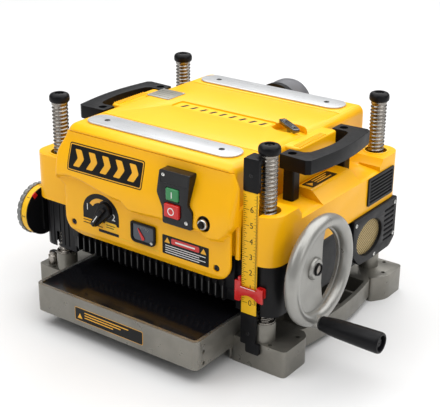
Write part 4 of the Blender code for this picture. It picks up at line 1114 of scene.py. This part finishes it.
def build_pointer():
    x0, x1, high, back = 178.5, 212.0, 138.0, -GUARD
    dip = [(x0 + (x1 - x0) * i / 16, 119.5 + 6.2 * math.sin(math.pi * i / 16)) for i in range(17)]
    outline = [(x0, high), (x0, 126)] + dip + [(221, 118.5), (221, 142), (213, 142), (x1, high)]
    blade = prism("pointer", outline, "Y", -194.0, -191.3, "red")
    weld(blade, prism("pointer leg", rounded(209, -192.5, 214, back, 0.5, 2), "Z", 126, 142))
    weld(blade, prism("pointer hook", rounded(170, 112, 180.6, 146, (1, 3, 1, 1), 3), "Y", -193.4, -190.2))
    weld(blade, prism("pointer post", rounded(175, 118, 179, 152, 0.5, 2), "Y", -192, back))
    weld(blade, prism("pointer back", rounded(213, 126, 221, 142, 2, 4), "Y", -187.3, back))
    edges(blade, 0.7, 3)
    done(blade, "carriage", ["height_pointer"])
    printed("pointer line", rounded(181, 136.9, 207, 137.8, 0.2, 2), "Y", -194.0, "white", -0.12)


def rule_ticks(left, right, zero, end, inch):
    """Eighths of an inch along the left edge and millimetres along the right one."""
    ticks = []
    for k in range(int((end - zero) * 8 / inch) + 1):
        z = zero + inch * k / 8
        length = 10.5 if k % 8 == 0 else 7.6 if k % 4 == 0 else 5.6 if k % 2 == 0 else 3.6
        ticks.append(rounded(left, z - 0.34, left + length, z + 0.34, 0))
    for k in range(int(end - zero) + 1):
        length = 6.5 if k % 10 == 0 else 4.4 if k % 5 == 0 else 2.6
        ticks.append(rounded(right - length, zero + k - 0.18, right, zero + k + 0.18, 0))
    return ticks


def build_scale():
    left, right, zero, inch, level = 180.5, 207.5, 112, 25.4, -190.45
    rule = prism("rule", rounded(left, 93, right, 292, 1), "Y", -190.5, -188.5, "yellow_trim")
    edges(rule, 0.35, 2)
    done(rule, "base", ["scale_rule"])
    ticks = rule_ticks(left + 0.7, right - 0.7, zero, 289, inch)
    done(prisms("rule ticks", ticks, "Y", level - 0.2, level, "ink"), "base")
    for k in range(7):
        numeral(str(k), 13, (196.5, level - 0.12, zero + inch * k + 0.3), "-Y", "ink", "base")
    foot = prism("scale foot", rounded(left, 41, right, 92.7, 2), "Y", -191, -185.8, "black")
    weld(foot, prism("foot tongue", rounded(183.5, 80, 204.5, 104, 1), "Y", -188.2, -185.8))
    weld(foot, prism("foot hook", rounded(190, 27, 215, 46, 3), "Y", -191, -185.8))
    edges(foot, 0.9, 3)
    done(foot, "base", ["scale_foot"])
    bracket = prism("scale bracket", rounded(left, 292.3, right, 343.4, 3), "Y", -191, -184.6, "black")
    weld(bracket, prism("bracket arm", rounded(left + 1, -186, right - 1, -166, 2), "Z", 336, 343.4))
    cut(bracket, prism("post clip", circle(14.05, (POST[0], -POST[1])), "Z", 330, 350))
    edges(bracket, 0.9, 3)
    done(bracket, "base", ["scale_bracket"])
    for z in (60, 318):
        screw(f"scale screw {z}", (194, -190.9, z), "Y", 3.4, "gloss_black", 0.6, -1, "base")


# ---------------------------------------------------------------- crank, nuts, plate and wrench

def build_handwheel():
    ring = [(r, x) for x, r in oval(11.76, 11, (276, 77), 28)]
    wheel = turned("wheel", ring, "X", CRANK, "wheel", 96)
    dish = [(0, 262.4), (40, 262.4), (62, 266), (70, 270), (70, 274), (58, 269.5), (40, 267), (0, 267)]
    web = turned("web", dish, "X", CRANK, None, 96)
    half = math.acos(22 / 64)
    window = soften(circle(64, CRANK, 48, -half, 2 * half), 7, 5)
    cut(web, prism("window", window, "X", 240, 300))
    weld(wheel, web)
    hub = [(0, 252), (15, 252), (18, 260), (18, 269), (15, 272.4), (0, 272.4)]
    weld(wheel, turned("hub", arc_profile(hub, 1.2), "X", CRANK))
    cut(wheel, prism("hub bore", circle(8.3, CRANK), "X", 240, 300))
    weld(wheel, turned("grip boss", [(0, 279), (11, 279), (10, 291), (0, 291)], "X", GRIP, None, 48))
    edges(wheel, 1.6, 4, 35)
    done(wheel, "crank wheel", ["handwheel"], angle=40)
    done(disc("spindle", GRIP, "X", 5, 288, 390, "steel"), "crank wheel")
    shaft = arc_profile([(0, 224), (8, 224), (8, 273.2), (6.8, 274.5), (0, 274.5)], 0.5)
    done(turned("crank shaft", shaft, "X", CRANK, "steel"), "crank wheel", ["crank_shaft"])
    cup = [(0, 271.0), (6.6, 271.0), (7.6, 276.2), (9.4, 276.2), (10.2, 271.6), (10.2, 269), (0, 269)]
    done(turned("hub cup", arc_profile(cup, 0.4), "X", CRANK, "ink"), "crank wheel")
    done(disc("hub bolt", CRANK, "X", 4.6, 270.5, 274.0, "gloss_black", 0.5, steps=6), "crank wheel")


def build_crank_grip():
    flare = curve_through([(11.5, 293.5), (11.6, 296), (12.2, 300), (13.6, 309), (14.6, 322), (15.4, 345),
                           (16.1, 370), (16.45, 386), (16.4, 390)], 40)
    end = [(16.0, 392.6), (15.0, 393.9), (13.2, 394), (12.2, 393), (11.8, 387), (5.4, 387)]
    handle = turned("grip", [(5.4, 293.5)] + flare + end, "X", GRIP, "black")
    done(handle, "crank grip", ["crank_grip"], angle=40)
    pin = disc("grip screw", GRIP, "X", 6.2, 388, 390.6, "black", 0.6)
    y, z = GRIP
    cut(pin, prism("grip socket", rounded(y - 5, z - 0.7, y + 5, z + 0.7, 0), "X", 389.6, 396))
    done(pin, "crank wheel")


def build_nuts():
    teeth, per_tooth = 16, 6
    for name, (x, y) in corners():
        outline = []
        for i in range(teeth * per_tooth):
            a = TAU * i / (teeth * per_tooth)
            r = 17.0 + 1.3 * smoothstep(-0.2, 0.7, math.cos(teeth * a))
            outline.append((x + r * math.cos(a), y + r * math.sin(a)))
        nut = prism("nut " + name, outline, "Z", 187.5, 191.5, "steel")
        weld(nut, disc("nut body " + name, (x, y), "Z", 16.4, 180.4, 206))
        weld(nut, disc("nut collar " + name, (x, y), "Z", 18.4, 202, 206))
        cut(nut, prism("nut bore " + name, circle(14.1, (x, y)), "Z", 170, 220))
        edges(nut, 0.6, 2, 40)
        done(nut, "lift nut " + name.replace("_", " "), ["lift_nut_" + name])


def build_nameplate():
    top = TOP[3]
    plate = prism("nameplate", rounded(-162.5, 2.5, -112.5, 51.5, 3), "Z", top + 0.3, top + 1.1, "plate")
    edges(plate, 0.3, 2)
    done(plate, "carriage", ["nameplate"])
    for i in range(4):
        y = 12 + 9 * i
        line = rounded(-157, y, -119 - 5 * (i % 2), y + 1.1, 0.4, 2)
        printed(f"nameplate line {i}", line, "Z", top + 1.08, "ink", 0.06)
    head = [(0, top + 1), (1.5, top + 1), (1.2, top + 1.8), (0, top + 2.1)]
    for x, y in ((-159.5, 5.5), (-115.5, 5.5), (-159.5, 48.5), (-115.5, 48.5)):
        done(turned(f"rivet {x} {y}", head, "Z", (x, y), "zinc", 20))


def build_wrench():
    turn, top = math.radians(-34), 333.6
    edge = [(-30, -6.2), (-9, -6.8), (0, -7.5), (9, -6.8), (30, -6.2)]
    bar = soften(edge + [(x, -y) for x, y in reversed(edge)], 4, 5)
    wrench = prism("wrench", swung(bar, BOWL, turn), "Z", top - 6, top, "dark_steel")
    weld(wrench, disc("stem", BOWL, "Z", 4, 262, 330, steps=32))
    slots = [swung(rounded(x - 4.5, -2.2, x + 4.5, 2.2, 2, 4), BOWL, turn) for x in (-17, 17)]
    cut(wrench, prisms("wrench slots", slots, "Z", top - 2, 340))
    edges(wrench, 1.8, 4)
    done(wrench, "knife wrench", ["knife_wrench"])


def fit_cad():
    """The inner nodes that stay as they are take the scene's surfaces."""
    inner = {"steel": ("cutterhead", "cutterhead_pulley", "motor_shaft", "lift_chain"),
             "rim": ("knife_1", "knife_2", "knife_3"), "paint_black": ("motor",),
             "rubber": ("infeed_roller", "outfeed_roller", "drive_belt")}
    for look, names in inner.items():
        for name in names:
            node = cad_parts[name]
            node.data.materials.clear()
            node.data.materials.append(LOOKS[look])
            edges(node, 0.4, 2, 40)


# ---------------------------------------------------------------- studio

def build_floor():
    bpy.ops.mesh.primitive_plane_add(size=30, location=(0, 0, 0))
    floor = bpy.context.object
    floor.name = "floor"
    mat, tree, shader = material("studio floor")
    tone = blend(tree, remap(tree, noise(tree, 3.0), 0.3, 0.7, 0, 1), (0.68, 0.68, 0.68), (0.71, 0.71, 0.71))
    tree.links.new(tone, shader.inputs["Base Color"])
    shader.inputs["Roughness"].default_value = 0.7
    floor.data.materials.append(mat)


def build_lights():
    world = bpy.data.worlds.new("studio")
    bpy.context.scene.world = world
    world.use_nodes = True
    sky = world.node_tree.nodes["Background"]
    sky.inputs["Color"].default_value = (1.0, 1.0, 1.0, 1.0)
    sky.inputs["Strength"].default_value = 0.25
    lamps = (("key", (-1.1, -1.7, 1.9), 1.5, 15), ("side", (2.1, -0.4, 1.3), 1.2, 9),
             ("top", (0.0, 0.9, 4.2), 8.0, 500))
    for name, place, size, power in lamps:
        light = bpy.data.lights.new(name, "AREA")
        light.size = size
        light.energy = power
        lamp = linked(name, light)
        lamp.location = place
        lamp.rotation_euler = (Vector((0, 0, 0.15)) - Vector(place)).to_track_quat("-Z", "Y").to_euler()
    bpy.context.scene.view_settings.view_transform = "Standard"


def build_camera():
    camera = bpy.data.cameras.new("camera")
    camera.lens = 86.07
    camera.sensor_width = 36.0
    camera.sensor_fit = "HORIZONTAL"
    camera.clip_end = 50
    eye = linked("camera", camera)
    azimuth, elevation, roll = (math.radians(angle) for angle in (35.86, 22.49, 0.63))
    turn = (Matrix.Rotation(azimuth, 4, "Z") @ Matrix.Rotation(math.pi / 2 - elevation, 4, "X") @
            Matrix.Rotation(roll, 4, "Z"))
    eye.matrix_world = Matrix.Translation(at(983.4, -1358.6, 857.6)) @ turn
    bpy.context.scene.camera = eye


for build in (build_base, build_bed_sticker, build_collars, build_posts, build_stop_post, build_front_cover,
              build_top_cover, build_strips, build_side_covers, build_handles, build_chute, build_casting,
              build_guards, build_vent, build_gear_cover, build_switch, build_badge, build_speed_plate,
              build_warning, build_speed_knob, build_gauge, build_turret, build_pointer, build_scale,
              build_handwheel, build_crank_grip, build_nuts, build_nameplate, build_wrench, fit_cad,
              build_floor, build_lights, build_camera):
    build()
